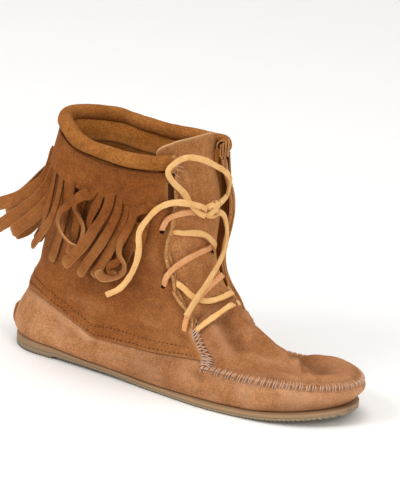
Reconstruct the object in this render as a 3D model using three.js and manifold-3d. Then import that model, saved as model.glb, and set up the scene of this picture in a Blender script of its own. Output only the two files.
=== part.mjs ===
// Fringed suede moccasin ankle boot, right foot, standing empty on its sole.
// Millimetres, +X to the toe, +Y to the wearer's left (the inner side), +Z up.
// The origin is on the floor under the middle of the heel.
import * as THREE from 'three';
import Module from 'manifold-3d';

const wasm = await Module();
wasm.setup();

// Driving dimensions
const soleLength = 252;
const ballWidth = 88;
const bootHeight = 146;
const heelSetback = 30;
const heelThickness = 8.5;
const waistThickness = 6;
const foreThickness = 4.6;
const toeSpring = 6.5;
const wall = 2;
const quarterStep = 0.9;
const gap = 0.35;

// Sections of the upper, one closed loop for each row, from the edge on the sole up to the collar.
// back and front are shares of the sole's length. z0 to z4 are heights, as shares of the boot's,
// at the places in HEIGHTS_AT along the loop. heel to toe are half widths at WIDTHS_AT, as shares
// of the ball's width. swing bends the front inwards. tail and nose are how much of the loop its
// ends round off. edge is where along the loop the quarter's front edge runs.
const HEIGHTS_AT = [0, 0.17, 0.333, 0.667, 1];
const WIDTHS_AT = [0, 0.333, 0.667, 1];
const LEVELS = [
  { v: 0.00, back: 0.006, front: 0.980, z0: 0.062, z1: 0.060, z2: 0.042, z3: 0.035, z4: 0.066,
    heel: 0.360, waist: 0.400, fore: 0.480, toe: 0.420, swing: 0.045, tail: 0.14, nose: 0.20, edge: 0.63 },
  { v: 0.08, back: -0.008, front: 1.006, z0: 0.095, z1: 0.090, z2: 0.070, z3: 0.080, z4: 0.120,
    heel: 0.385, waist: 0.425, fore: 0.500, toe: 0.430, swing: 0.045, tail: 0.14, nose: 0.20, edge: 0.63 },
  { v: 0.16, back: -0.004, front: 1.010, z0: 0.155, z1: 0.135, z2: 0.102, z3: 0.120, z4: 0.150,
    heel: 0.375, waist: 0.420, fore: 0.485, toe: 0.420, swing: 0.045, tail: 0.14, nose: 0.21, edge: 0.64 },
  { v: 0.24, back: 0.020, front: 0.998, z0: 0.245, z1: 0.190, z2: 0.135, z3: 0.166, z4: 0.172,
    heel: 0.345, waist: 0.410, fore: 0.440, toe: 0.385, swing: 0.045, tail: 0.15, nose: 0.22, edge: 0.65 },
  { v: 0.30, back: 0.037, front: 0.968, z0: 0.325, z1: 0.245, z2: 0.169, z3: 0.200, z4: 0.203,
    heel: 0.320, waist: 0.395, fore: 0.385, toe: 0.335, swing: 0.045, tail: 0.16, nose: 0.23, edge: 0.655 },
  { v: 0.40, back: 0.055, front: 0.880, z0: 0.385, z1: 0.335, z2: 0.285, z3: 0.272, z4: 0.165,
    heel: 0.300, waist: 0.370, fore: 0.330, toe: 0.220, swing: 0.035, tail: 0.17, nose: 0.26, edge: 0.66 },
  { v: 0.48, back: 0.062, front: 0.770, z0: 0.440, z1: 0.405, z2: 0.370, z3: 0.345, z4: 0.250,
    heel: 0.290, waist: 0.350, fore: 0.310, toe: 0.150, swing: 0.020, tail: 0.18, nose: 0.30, edge: 0.73 },
  { v: 0.56, back: 0.070, front: 0.655, z0: 0.505, z1: 0.480, z2: 0.455, z3: 0.425, z4: 0.370,
    heel: 0.285, waist: 0.345, fore: 0.310, toe: 0.200, swing: 0.000, tail: 0.20, nose: 0.30, edge: 0.79 },
  { v: 0.66, back: 0.075, front: 0.567, z0: 0.610, z1: 0.595, z2: 0.580, z3: 0.555, z4: 0.520,
    heel: 0.275, waist: 0.350, fore: 0.345, toe: 0.300, swing: 0.000, tail: 0.24, nose: 0.22, edge: 0.87 },
  { v: 0.80, back: 0.083, front: 0.540, z0: 0.770, z1: 0.760, z2: 0.742, z3: 0.735, z4: 0.735,
    heel: 0.265, waist: 0.370, fore: 0.410, toe: 0.400, swing: 0.000, tail: 0.27, nose: 0.16, edge: 0.945 },
  { v: 1.00, back: 0.100, front: 0.526, z0: 1.010, z1: 0.996, z2: 0.966, z3: 0.956, z4: 0.974,
    heel: 0.255, waist: 0.385, fore: 0.440, toe: 0.420, swing: 0.000, tail: 0.29, nose: 0.15, edge: 0.96 },
];
const FIELDS = Object.keys(LEVELS[0]).filter((name) => name !== 'v');

// The sole's outline, half widths to each side as shares of the ball's width.
const SOLE = [
  { at: 0.00, outer: 0.365, inner: 0.365 },
  { at: 0.15, outer: 0.370, inner: 0.365 },
  { at: 0.35, outer: 0.405, inner: 0.360 },
  { at: 0.50, outer: 0.445, inner: 0.390 },
  { at: 0.68, outer: 0.495, inner: 0.480 },
  { at: 0.85, outer: 0.450, inner: 0.475 },
  { at: 1.00, outer: 0.400, inner: 0.460 },
];
const soleTail = 0.13;
const soleNose = 0.19;

function clamp(x, low, high) {
  return Math.min(high, Math.max(low, x));
}
function ease(from, to, x) {
  const t = clamp((x - from) / (to - from), 0, 1);
  return t * t * (3 - 2 * t);
}
// A smooth curve through the values ys at the places xs.
function through(xs, ys, x) {
  const last = xs.length - 1;
  let i = 0;
  while (i < last - 1 && x > xs[i + 1]) i += 1;
  const step = xs[i + 1] - xs[i];
  const t = (x - xs[i]) / step;
  const slope = (k) => {
    const a = Math.max(0, k - 1);
    const b = Math.min(last, k + 1);
    return (ys[b] - ys[a]) / (xs[b] - xs[a]) * step;
  };
  const t2 = t * t;
  const t3 = t2 * t;
  return (2 * t3 - 3 * t2 + 1) * ys[i] + (t3 - 2 * t2 + t) * slope(i)
    + (3 * t2 - 2 * t3) * ys[i + 1] + (t3 - t2) * slope(i + 1);
}
// Shrinks a half width to nothing at both ends of a loop, along two elliptical ends.
function rounded(t, tail, nose) {
  if (t < tail) return Math.sqrt(Math.max(0, 1 - ((tail - t) / tail) ** 2));
  if (t > 1 - nose) return Math.sqrt(Math.max(0, 1 - ((t - 1 + nose) / nose) ** 2));
  return 1;
}

// Underside and top of the sole along its length
const archRise = 1.6;
function share(x) {
  return (x + heelSetback) / soleLength;
}
function springAt(x) {
  return toeSpring * clamp((share(x) - 0.714) / 0.286, 0, 1.1) ** 2;
}
function soleUnder(x) {
  const arch = archRise * ease(0.167, 0.187, share(x)) * (1 - ease(0.357, 0.516, share(x)));
  return arch + springAt(x);
}
function soleTop(x) {
  const rear = heelThickness + (waistThickness - heelThickness) * ease(0.119, 0.317, share(x));
  return rear + (foreThickness - waistThickness) * ease(0.298, 0.536, share(x)) + springAt(x);
}

// The upper's outer surface. v runs up from the sole's edge, theta runs from 0 at the back to PI at
// the front, side is -1 on the outer and 1 on the inner side of the foot.
const VS = LEVELS.map((row) => row.v);
const shelf = new Map();
function levelAt(v) {
  const key = v.toFixed(5);
  if (!shelf.has(key)) {
    const row = {};
    for (const name of FIELDS) row[name] = through(VS, LEVELS.map((r) => r[name]), clamp(v, 0, 1));
    shelf.set(key, row);
  }
  return shelf.get(key);
}
// The vamp has taken a fold: beyond a crest along its middle the inner side lies lower. The crest is
// a share of the ball's width, and the fold sets in and dies out at shares of the sole's length and
// of the boot's height.
const foldDepth = 10;
const foldRun = 0.16 * ballWidth;
const foldCrest = 0.017 * ballWidth;
function foldAt(x, y, z) {
  const along = ease(0.563, 0.675, share(x)) * (1 - ease(0.722, 0.905, share(x)));
  return foldDepth * ease(0, foldRun, y - foldCrest) * along * ease(0.082, 0.233, z / bootHeight);
}
function surface(v, theta, side) {
  const row = levelAt(v);
  const t = (1 - Math.cos(theta)) / 2;
  const x = (row.back + (row.front - row.back) * t) * soleLength - heelSetback;
  const half = through(WIDTHS_AT, [row.heel, row.waist, row.fore, row.toe], t) * ballWidth;
  const middle = row.swing * ballWidth * ease(0.4, 1, t);
  const heights = (r) => through(HEIGHTS_AT, [r.z0, r.z1, r.z2, r.z3, r.z4], t) * bootHeight;
  let z = heights(row) + Math.max(0, v - 1) * 60;
  const low = clamp(1 - v / 0.08, 0, 1);
  if (low > 0) z += low * (soleTop(x) + gap - heights(levelAt(0)));
  const y = middle + side * half * rounded(t, row.tail, row.nose);
  return new THREE.Vector3(x, y, z - foldAt(x, y, z));
}
function normalAt(v, theta, side) {
  const w = clamp(v, 0.004, 0.996);
  const q = clamp(theta, 0.03, Math.PI - 0.03);
  const up = surface(w + 0.004, q, side).sub(surface(w - 0.004, q, side));
  const along = surface(w, q + 0.03, side).sub(surface(w, q - 0.03, side));
  const normal = along.cross(up).normalize();
  if (side > 0) normal.negate();
  if (theta < 0.03 || theta > Math.PI - 0.03) normal.y = 0;
  return normal.normalize();
}

// Columns of the upper's net: from the back along the outer side to the quarter's front edge, on to
// the front, and home along the inner side. Rows bend up over the front to the throat's lower end.
const sideColumns = 16;
const frontColumns = 6;
const halfColumns = sideColumns + frontColumns;
const ROWS = [0, 0.04, 0.08, 0.12, 0.16, 0.20, 0.225, 0.24, 0.255, 0.28, 0.298, 0.302, 0.34, 0.38,
  0.42, 0.47, 0.53, 0.60, 0.66, 0.73, 0.80, 0.85, 0.92, 1];
const throatRow = ROWS.indexOf(0.42);
const stepRow = ROWS.indexOf(0.302);
const throatRun = 8;

function columnTheta(v, c) {
  const edge = Math.acos(1 - 2 * levelAt(v).edge);
  if (c <= sideColumns) return edge * c / sideColumns;
  return edge + (Math.PI - edge) * (c - sideColumns) / frontColumns;
}
// The level at which each front column meets the throat's lower end, a shallow arc from side to side
const throatLevels = [...Array(frontColumns + 1).keys()].map((k) => {
  const c = sideColumns + k;
  const start = surface(0.42, columnTheta(0.42, sideColumns), -1).x;
  const target = start + throatRun * Math.sin(k / frontColumns * Math.PI / 2);
  let [low, high] = [0.42, 0.66];
  for (let n = 0; n < 30; n += 1) {
    const mid = (low + high) / 2;
    if (surface(mid, columnTheta(mid, c), -1).x > target) low = mid;
    else high = mid;
  }
  return k === 0 ? 0.42 : low;
});
function place(v, column) {
  const side = column <= halfColumns ? -1 : 1;
  const c = column <= halfColumns ? column : 2 * halfColumns - column;
  const rise = throatLevels[Math.max(0, c - sideColumns)] - 0.42;
  const over = v < 0.42 ? clamp((v - 0.30) / 0.12, 0, 1) : clamp((1 - v) / 0.58, 0, 1);
  const bent = v + rise * over;
  return { v: bent, theta: columnTheta(bent, c), side, c };
}
function offsetPoint(spot, off) {
  return surface(spot.v, spot.theta, spot.side)
    .addScaledVector(normalAt(spot.v, spot.theta, spot.side), off);
}
// How far the outside stands out from the plain surface: the quarter is a layer over the wrap, and
// the moccasin seam is a low ridge round the toe.
function relief(v, c, row) {
  const quarter = row >= stepRow && c <= sideColumns ? quarterStep : 0;
  const seam = 0.8 * Math.exp(-(((v - 0.24) / 0.014) ** 2)) * ease(sideColumns - 3, sideColumns, c);
  return quarter + seam;
}

// Closed bodies from points and triangles
function solid(points, faces) {
  const used = new Map();
  const kept = [];
  const index = faces.map((k) => {
    if (!used.has(k)) {
      used.set(k, kept.length);
      kept.push(points[k]);
    }
    return used.get(k);
  });
  let volume = 0;
  for (let i = 0; i < index.length; i += 3) {
    const [a, b, c] = [kept[index[i]], kept[index[i + 1]], kept[index[i + 2]]];
    volume += a.clone().cross(b).dot(c);
  }
  if (volume < 0) {
    for (let i = 0; i < index.length; i += 3) [index[i], index[i + 1]] = [index[i + 1], index[i]];
  }
  const geometry = new THREE.BufferGeometry();
  geometry.setAttribute('position', new THREE.Float32BufferAttribute(kept.flatMap((p) => p.toArray()), 3));
  geometry.setIndex(index);
  geometry.computeVertexNormals();
  return geometry;
}
// A sheet with thickness: two nets of points, joined along every open edge.
function sheet(outer, inner, ring = false, alive = () => true) {
  const rows = outer.length;
  const cols = outer[0].length;
  const cells = ring ? cols : cols - 1;
  const points = [...outer.flat(), ...inner.flat()];
  const faces = [];
  const at = (i, j, back) => (back ? rows * cols : 0) + i * cols + (j % cols);
  const quad = (a, b, c, d) => faces.push(a, b, c, a, c, d);
  const live = (i, j) => {
    if (i < 0 || i >= rows - 1) return false;
    if (!ring && (j < 0 || j >= cells)) return false;
    return alive(i, (j + cells) % cells);
  };
  for (let i = 0; i < rows - 1; i += 1) {
    for (let j = 0; j < cells; j += 1) {
      if (!live(i, j)) continue;
      const corners = [[i, j], [i, j + 1], [i + 1, j + 1], [i + 1, j]];
      const beside = [[i - 1, j], [i, j + 1], [i + 1, j], [i, j - 1]];
      quad(...corners.map(([r, c]) => at(r, c, false)));
      quad(...[0, 3, 2, 1].map((k) => at(...corners[k], true)));
      beside.forEach(([r, c], k) => {
        if (live(r, c)) return;
        const [p, q] = [corners[k], corners[(k + 1) % 4]];
        quad(at(...q, false), at(...p, false), at(...p, true), at(...q, true));
      });
    }
  }
  return solid(points, faces);
}
// A body through rings of points, closed at its two ends.
function loft(rings) {
  const n = rings[0].length;
  const faces = [];
  for (let i = 0; i < rings.length - 1; i += 1) {
    for (let j = 0; j < n; j += 1) {
      const k = (j + 1) % n;
      faces.push(i * n + j, i * n + k, (i + 1) * n + k, i * n + j, (i + 1) * n + k, (i + 1) * n + j);
    }
  }
  const end = (rings.length - 1) * n;
  for (let j = 1; j < n - 1; j += 1) {
    faces.push(0, j + 1, j, end, end + j, end + j + 1);
  }
  return solid(rings.flat(), faces);
}
// A flat strip along a path, face is the way its broad side looks at each place.
function strip(path, face, width, thickness) {
  const rings = path.map((p, i) => {
    const ahead = path[Math.min(i + 1, path.length - 1)].clone().sub(path[Math.max(i - 1, 0)]).normalize();
    const across = ahead.clone().cross(face(i, p)).normalize().multiplyScalar(width(i) / 2);
    const out = across.clone().normalize().cross(ahead).multiplyScalar(thickness / 2);
    return [
      p.clone().add(across).add(out),
      p.clone().sub(across).add(out),
      p.clone().sub(across).sub(out),
      p.clone().add(across).sub(out),
    ];
  });
  return loft(rings);
}
function toManifold(geometry) {
  const mesh = new wasm.Mesh({
    numProp: 3,
    vertProperties: Float32Array.from(geometry.attributes.position.array),
    triVerts: Uint32Array.from(geometry.index.array),
  });
  return new wasm.Manifold(mesh);
}
function joined(geometries) {
  const whole = wasm.Manifold.union(geometries.map(toManifold));
  const mesh = whole.getMesh();
  const geometry = new THREE.BufferGeometry();
  geometry.setAttribute('position', new THREE.BufferAttribute(Float32Array.from(mesh.vertProperties), 3));
  geometry.setIndex(new THREE.BufferAttribute(Uint32Array.from(mesh.triVerts), 1));
  geometry.computeVertexNormals();
  return geometry;
}

// Upper: wrap, quarter and apron as one hollow body, open at the collar, the throat and underneath
function makeUpper() {
  const columns = [...Array(2 * halfColumns).keys()];
  const outer = ROWS.map((v, i) => columns.map((j) => {
    const spot = place(v, j);
    return offsetPoint(spot, relief(spot.v, spot.c, i));
  }));
  const inner = ROWS.map((v) => columns.map((j) => offsetPoint(place(v, j), -wall)));
  const opening = (i, j) => i >= throatRow && j >= sideColumns && j < 2 * halfColumns - sideColumns;
  outer[0].forEach((p, j) => { p.z = inner[0][j].z; });
  return sheet(outer, inner, true, (i, j) => !opening(i, j));
}

// Tongue: goes on from the apron under the quarters' front edges and stands above the collar, with
// its upper corners rounded off
const tongueThickness = 1.8;
const tongueLean = 4.4;
function makeTongue() {
  const first = sideColumns - 2;
  const columns = [...Array(2 * (halfColumns - first) + 1).keys()].map((j) => first + j);
  const rows = [...ROWS.slice(throatRow - 1), 1.15, 1.29];
  const net = (extra) => rows.map((v) => columns.map((j) => {
    const corner = 1 - 0.42 * (Math.abs(j - halfColumns) / (halfColumns - first)) ** 6;
    const level = v > 1 ? 1 + (v - 1) * corner : v;
    const inside = wall + gap + tongueLean * ease(0.85, 1.0, v) + extra;
    return offsetPoint(place(level, j), -inside);
  }));
  return sheet(net(0), net(tongueThickness));
}

// Collar roll: a padded tube round the top edge, cut off at the throat
const rollRadius = 4.9;
function makeRoll() {
  const rings = [];
  for (let j = sideColumns; j >= -sideColumns; j -= 1) {
    const spot = place(1, (j + 2 * halfColumns) % (2 * halfColumns));
    const centre = offsetPoint(spot, -wall / 2);
    const out = normalAt(1, spot.theta, spot.side).setZ(0).normalize();
    centre.z += rollRadius + gap + 0.2;
    rings.push([...Array(10).keys()].map((k) => {
      const a = k / 10 * 2 * Math.PI;
      const p = centre.clone().addScaledVector(out, rollRadius * Math.cos(a));
      p.z += rollRadius * Math.sin(a);
      return p;
    }));
  }
  return loft(rings);
}

// Outsole: treaded underneath, with a heel and a plain pad under heel and ball
const treadPitch = 7;
const treadDepth = 1;
const treadFlat = 1.6;
const treadRamp = 0.6;
const edgeHeight = 2.6;
const padHalf = 10;
const forePad = 126;
const endSteps = [0.15, 0.8, 2, 3.6, 5.6, 8];
function soleHalf(t, name) {
  return through(SOLE.map((r) => r.at), SOLE.map((r) => r[name]), t) * ballWidth * rounded(t, soleTail, soleNose);
}
function soleSection(x, lift) {
  const t = clamp((x + heelSetback) / soleLength, 0.0006, 0.9994);
  const outer = -soleHalf(t, 'outer');
  const inner = soleHalf(t, 'inner');
  const under = soleUnder(x) + lift;
  const over = soleTop(x);
  const inset = 0.02;
  const span = inner - outer;
  return [
    new THREE.Vector3(x, outer + inset * span, under),
    new THREE.Vector3(x, inner - inset * span, under),
    new THREE.Vector3(x, inner, over - edgeHeight),
    new THREE.Vector3(x, inner, over),
    new THREE.Vector3(x, outer, over),
    new THREE.Vector3(x, outer, over - edgeHeight),
  ];
}
function makeOutsole() {
  const back = -heelSetback;
  const front = soleLength - heelSetback;
  const rings = [];
  for (const dx of endSteps) rings.push(soleSection(back + dx, 0));
  const plain = (x) => Math.abs(x) < padHalf || Math.abs(x - forePad) < padHalf;
  const treadCut = treadFlat + treadRamp;
  for (let x = back + treadPitch + 3; x < front - treadPitch - 6; x += treadPitch) {
    rings.push(soleSection(x, 0));
    if (plain(x + treadPitch / 2)) continue;
    rings.push(soleSection(x + treadFlat, 0));
    rings.push(soleSection(x + treadCut, treadDepth));
    rings.push(soleSection(x + treadCut + treadFlat, treadDepth));
    rings.push(soleSection(x + 2 * treadCut, 0));
  }
  for (const dx of [...endSteps].reverse()) rings.push(soleSection(front - dx, 0));
  return loft(rings);
}

// Insole: a sock of leather lying on the sole inside the upper
const insoleThickness = 2.4;
const insoleInset = 1.9;
function makeInsole() {
  const inset = wall + insoleInset;
  const net = (lift) => {
    const rings = [];
    for (let j = 0; j <= halfColumns; j += 1) {
      const theta = 0.1 + (Math.PI - 0.2) * j / halfColumns;
      rings.push([-1, 1].map((side) => {
        const p = surface(0, theta, side);
        const out = normalAt(0, theta, side).setZ(0).normalize();
        p.addScaledVector(out, -inset);
        p.z = soleTop(p.x) + gap + lift;
        return p;
      }));
    }
    return rings;
  };
  return sheet(net(insoleThickness), net(0));
}

// Heel tab: the turned-up end of the sole leather stitched to the back of the heel
function makeHeelTab() {
  const rows = [0.04, 0.08, 0.12, 0.16];
  const columns = [-2, -1, 0, 1, 2].map((j) => (j + 2 * halfColumns) % (2 * halfColumns));
  const net = (off) => rows.map((v) => columns.map((j) => offsetPoint(place(v, j), off)));
  return sheet(net(gap + 1.3), net(gap));
}

// Fringe: a flap that hangs from the roll with strips cut into it
const stripCount = 34;
const flapColumns = sideColumns - 1;
const stripWidth = 5.4;
const flapThickness = 1.5;
const flapOff = quarterStep + gap + 0.1;
const stripLevel = 0.875;
const stripLength = 62;
const flareOut = 12;
function flapFlare(v) {
  return flapOff + flareOut * (1 - v);
}
// A strip trails backwards round the ankle as it falls, and stands off where it leaves the back.
function stripPath(theta0, side, length, slant) {
  const steps = 20;
  const bit = length / steps;
  let theta = theta0;
  const p = offsetPoint({ v: stripLevel, theta, side }, flapFlare(stripLevel) + flapThickness / 2);
  const path = [p.clone()];
  for (let k = 0; k < steps; k += 1) {
    const out = normalAt(stripLevel, theta, side).setZ(0).normalize();
    const back = new THREE.Vector3(side * -out.y, side * out.x, 0);
    const behind = clamp(-out.x, 0, 1) ** 2;
    const fall = (0.82 - 0.42 * behind) * (1 + 0.35 * k / steps);
    const way = back.multiplyScalar(slant * (1 - behind));
    way.addScaledVector(out, 0.05 + 0.62 * behind);
    way.z = -fall;
    way.normalize();
    p.addScaledVector(way, bit);
    path.push(p.clone());
    const arc = surface(stripLevel, theta + 0.01, side).distanceTo(surface(stripLevel, theta - 0.01, side)) / 0.02;
    theta = Math.max(0.02, theta - way.clone().setZ(0).length() * (1 - behind) * bit / arc);
  }
  return path.filter((_, k) => k % 5 === 0);
}
function makeFringe() {
  const rows = [1, 0.92, 0.86];
  const columns = [...Array(2 * flapColumns + 1).keys()]
    .map((j) => (j - flapColumns + 2 * halfColumns) % (2 * halfColumns));
  const net = (off) => rows.map((v) => columns.map((j) => offsetPoint(place(v, j), flapFlare(v) + off)));
  const parts = [sheet(net(flapThickness), net(0))];
  const end = columnTheta(stripLevel, flapColumns);
  for (let i = 0; i < stripCount; i += 1) {
    const reach = (i + 0.5) / stripCount * 2 - 1;
    const side = reach < 0 ? 1 : -1;
    const wobble = Math.sin(i * 2.4) * 0.5 + Math.sin(i * 5.1 + 1) * 0.5;
    const path = stripPath(end * Math.abs(reach), side, stripLength * (1 + 0.065 * wobble), 0.55 + 0.05 * wobble);
    const face = (k, q) => new THREE.Vector3(q.x < 0 ? q.x : q.x * 0.2, q.y, 0).normalize();
    parts.push(strip(path, face, () => stripWidth, flapThickness - 0.1));
  }
  return joined(parts);
}

// The place on the plain surface over the foot's front at a given y and height
function skin(y, z) {
  const side = y < 0 ? -1 : 1;
  const thetaAt = (v) => {
    let [low, high] = [1.8, Math.PI];
    for (let n = 0; n < 26; n += 1) {
      const mid = (low + high) / 2;
      if (Math.abs(surface(v, mid, side).y) > Math.abs(y)) low = mid;
      else high = mid;
    }
    return low;
  };
  let [under, over] = [0.34, 1.2];
  for (let n = 0; n < 26; n += 1) {
    const mid = (under + over) / 2;
    if (surface(mid, thetaAt(mid), side).z < z) under = mid;
    else over = mid;
  }
  return { v: under, theta: thetaAt(under), side };
}
function outward(p) {
  return new THREE.Vector3(p.x - 50, p.y, 0).normalize();
}
const laceWidth = 3.8;
const laceThickness = 1.9;
function smoothPath(corners, steps) {
  return new THREE.CatmullRomCurve3(corners, false, 'centripetal').getPoints(steps);
}

// Laces: where they cross over the tongue, as one body. Rows are y and z of places along each run.
const laceLift = 3.0;
const RUNS = [
  [[-31, 104], [-31, 111], [-26, 116], [-15, 116], [0, 114], [14, 111], [25, 107]],
  [[-31, 104], [-18, 103], [-6, 98], [10, 90], [24, 82]],
  [[24, 82], [6, 86], [-12, 90], [-24, 87], [-28, 78], [-29, 69]],
  [[-29, 69], [-22, 64], [-10, 59], [6, 57], [22, 57]],
  [[22, 64], [4, 64], [-14, 61], [-24, 54], [-27, 46]],
  [[22, 51], [6, 53], [-14, 51], [-27, 46]],
];
function makeCrossings() {
  return joined(RUNS.map((run) => {
    const spots = smoothPath(run.map(([y, z]) => new THREE.Vector3(0, y, z)), 12).map((p) => skin(p.y, p.z));
    const path = spots.map((spot) => offsetPoint(spot, laceLift));
    const face = (i) => normalAt(spots[i].v, spots[i].theta, spots[i].side);
    return strip(path, face, () => laceWidth, laceThickness);
  }));
}

// The knot lies over the topmost crossing
const knotLift = 7.7;
const knotHalf = { x: 3.2, y: 6, z: 5 };
const knotSpot = skin(-4, 114.5);
const knotAt = offsetPoint(knotSpot, knotLift);
function makeKnot() {
  const ends = [[-1, 0.6], [-0.75, 1], [-0.3, 0.92], [0, 1.06], [0.3, 0.92], [0.75, 1], [1, 0.6]];
  return loft(ends.map(([along, swell]) => [...Array(8).keys()].map((k) => {
    const a = (k + 0.5) / 8 * 2 * Math.PI;
    const x = knotHalf.x * swell * Math.cos(a);
    const z = knotHalf.z * swell * Math.sin(a);
    return knotAt.clone().add(new THREE.Vector3(x, along * knotHalf.y, z));
  })));
}
// Loose ends of the lace: rows are x, y, z along each one. The first place of each, and the last of
// the loop, is given from the knot's middle.
const LOOSE = {
  lace_end_side: [[0.2, -7.4, 1.9], [113.5, -17, 120], [110, -26, 123], [104, -34, 124], [98, -41, 121],
    [93, -45, 114], [88, -47, 104], [87, -45, 92], [84, -43, 82], [78, -41, 71], [71, -41, 62], [62, -42, 56]],
  lace_end_front: [[0, 6.9, -2.7], [113, 8, 109], [114, 10, 103], [115, 10, 96], [116.5, 7, 90], [118.5, 1, 85],
    [120, -7, 79], [120.5, -16, 72], [118, -24, 62], [116, -31, 52]],
  lace_loop_top: [[-0.3, -7.4, -2.7], [110.4, -15.8, 115], [107, -20.5, 121], [103.6, -23.5, 127.7], [100.3, -32, 136.5],
    [99.6, -36.4, 143], [101.3, -35.5, 147.4], [105.5, -27, 151.9], [110.8, -16.5, 150], [115.1, -6, 144.3],
    [117, 1, 139.7], [116.3, 7.5, 133.7], [113.2, 11.5, 126.4], [110, 14, 120], [0, 7.4, 2.2]],
};
function makeLoose(name) {
  const rows = LOOSE[name];
  const fromKnot = (i) => i === 0 || (name === 'lace_loop_top' && i === rows.length - 1);
  const corners = rows.map((row, i) => {
    const p = new THREE.Vector3(...row);
    return fromKnot(i) ? p.add(knotAt) : p;
  });
  return strip(smoothPath(corners, 2 * rows.length), (i, p) => outward(p), () => laceWidth, laceThickness);
}

const leather = { tan: '#ac714a', shaft: '#8f5529', roll: '#b77943', lace: '#f0b979', sole: '#a98362' };
const boot = new THREE.Group();
boot.name = 'moccasin_boot';
function add(name, geometry, colour, roughness) {
  const material = new THREE.MeshStandardMaterial({ color: colour, roughness, metalness: 0 });
  material.name = `${name}_finish`;
  const mesh = new THREE.Mesh(geometry, material);
  mesh.name = name;
  boot.add(mesh);
}
add('outsole', makeOutsole(), leather.sole, 0.7);
add('insole', makeInsole(), leather.tan, 0.8);
add('upper', makeUpper(), leather.tan, 0.92);
add('tongue', makeTongue(), leather.tan, 0.92);
add('collar_roll', makeRoll(), leather.roll, 0.85);
add('heel_tab', makeHeelTab(), leather.tan, 0.9);
add('fringe', makeFringe(), leather.shaft, 0.9);
add('lace_crossings', makeCrossings(), leather.lace, 0.6);
add('lace_knot', makeKnot(), leather.lace, 0.6);
for (const name of Object.keys(LOOSE)) add(name, makeLoose(name), leather.lace, 0.6);

export default boot;
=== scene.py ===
# %% [markdown]
# # A fringed suede moccasin boot
# One soft leather boot stands empty on its sole, seen from its outer side and a little from above.
# The solids that the boot is measured by are loaded first. Every piece made here is placed on the
# same surface as they are, in the same frame: +X to the toe, +Y to the inner side, +Z up.
# Sizes are written in millimetres, and a mesh is turned to metres when it is made.

# %% The frame
import math

import bpy
import numpy as np
from mathutils import Matrix, Vector


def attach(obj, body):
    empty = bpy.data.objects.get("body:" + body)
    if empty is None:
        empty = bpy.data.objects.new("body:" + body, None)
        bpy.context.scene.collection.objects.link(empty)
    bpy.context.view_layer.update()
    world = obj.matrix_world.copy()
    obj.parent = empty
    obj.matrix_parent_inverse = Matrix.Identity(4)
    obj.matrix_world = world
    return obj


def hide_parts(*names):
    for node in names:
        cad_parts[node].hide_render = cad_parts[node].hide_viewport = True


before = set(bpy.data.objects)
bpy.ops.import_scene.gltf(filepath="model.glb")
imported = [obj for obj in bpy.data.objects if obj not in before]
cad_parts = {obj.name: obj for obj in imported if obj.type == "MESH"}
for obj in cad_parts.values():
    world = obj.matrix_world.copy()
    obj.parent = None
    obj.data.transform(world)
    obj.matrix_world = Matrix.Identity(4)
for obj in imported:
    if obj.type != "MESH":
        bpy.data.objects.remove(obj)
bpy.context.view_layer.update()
MM = 0.001

# %% [markdown]
# ## Where the eye stands
# The photograph was taken with a long lens, from the boot's outer side and front, a little above it.
# A long lens far away keeps the toe and the heel at nearly one scale, so the camera stands over
# three metres off. It is turned about its own axis a few degrees, as the picture is.

# %% The camera
# Angles are in degrees, lengths in millimetres. off_centre is in pixels: the point that the camera is
# turned about doesn't fall in the middle of the picture.
look_at = np.array([90.0, 0.0, 70.0])
azimuth, elevation, roll = math.radians(35), math.radians(17), math.radians(3.5)
distance = 3420.0
focal_px = 5427.0
picture_width, picture_height = 400, 500
sensor = 36.0
off_centre = (16.9, 19.6)

back = np.array([
    math.sin(azimuth) * math.cos(elevation),
    -math.cos(azimuth) * math.cos(elevation),
    math.sin(elevation),
])
level_right = np.array([math.cos(azimuth), math.sin(azimuth), 0.0])
level_up = np.cross(back, level_right)
right = math.cos(roll) * level_right + math.sin(roll) * level_up
up = -math.sin(roll) * level_right + math.cos(roll) * level_up
ahead = -back + right * off_centre[0] / focal_px + up * off_centre[1] / focal_px
ahead /= np.linalg.norm(ahead)
side_on = right - ahead * right.dot(ahead)
side_on /= np.linalg.norm(side_on)
upright = np.cross(side_on, ahead)


def in_scene(name, data):
    """A new object of this data, linked into the scene."""
    piece = bpy.data.objects.new(name, data)
    bpy.context.scene.collection.objects.link(piece)
    return piece


camera_data = bpy.data.cameras.new("camera")
camera_data.sensor_fit = "VERTICAL"
camera_data.sensor_height = sensor
camera_data.lens = focal_px * sensor / picture_height
camera = in_scene("camera", camera_data)
turn = Matrix((side_on, upright, -ahead)).transposed().to_4x4()
camera.matrix_world = Matrix.Translation(Vector((look_at + back * distance) * MM)) @ turn
bpy.context.scene.camera = camera
print("lens in mm:", round(camera_data.lens, 1))


def picture(points):
    """Where points in millimetres fall in the picture, in pixels from its upper left corner."""
    away = points - look_at
    scale = focal_px / (distance - away @ back)
    return np.stack([picture_width / 2 - off_centre[0] + (away @ right) * scale,
                     picture_height / 2 + off_centre[1] - (away @ up) * scale], -1)

# %% [markdown]
# ## The shape that everything lies on
# A boot's upper is one smooth skin drawn over a last. Here it is a stack of closed loops, each given
# by a few shares of the boot's own sizes: how far back and forward it reaches, its height in five
# places and its half width in four. A smooth curve joins the loops from the sole to the collar, so
# every panel, crease and stitch below can be placed on that skin by its level and its column.

# %% The boot's own sizes
sole_length = 252.0
ball_width = 88.0
boot_height = 146.0
heel_setback = 30.0
heel_thickness = 8.5
waist_thickness = 6.0
fore_thickness = 4.6
toe_spring = 6.5
wall = 2.0
quarter_step = 0.9
gap = 0.35

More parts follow.
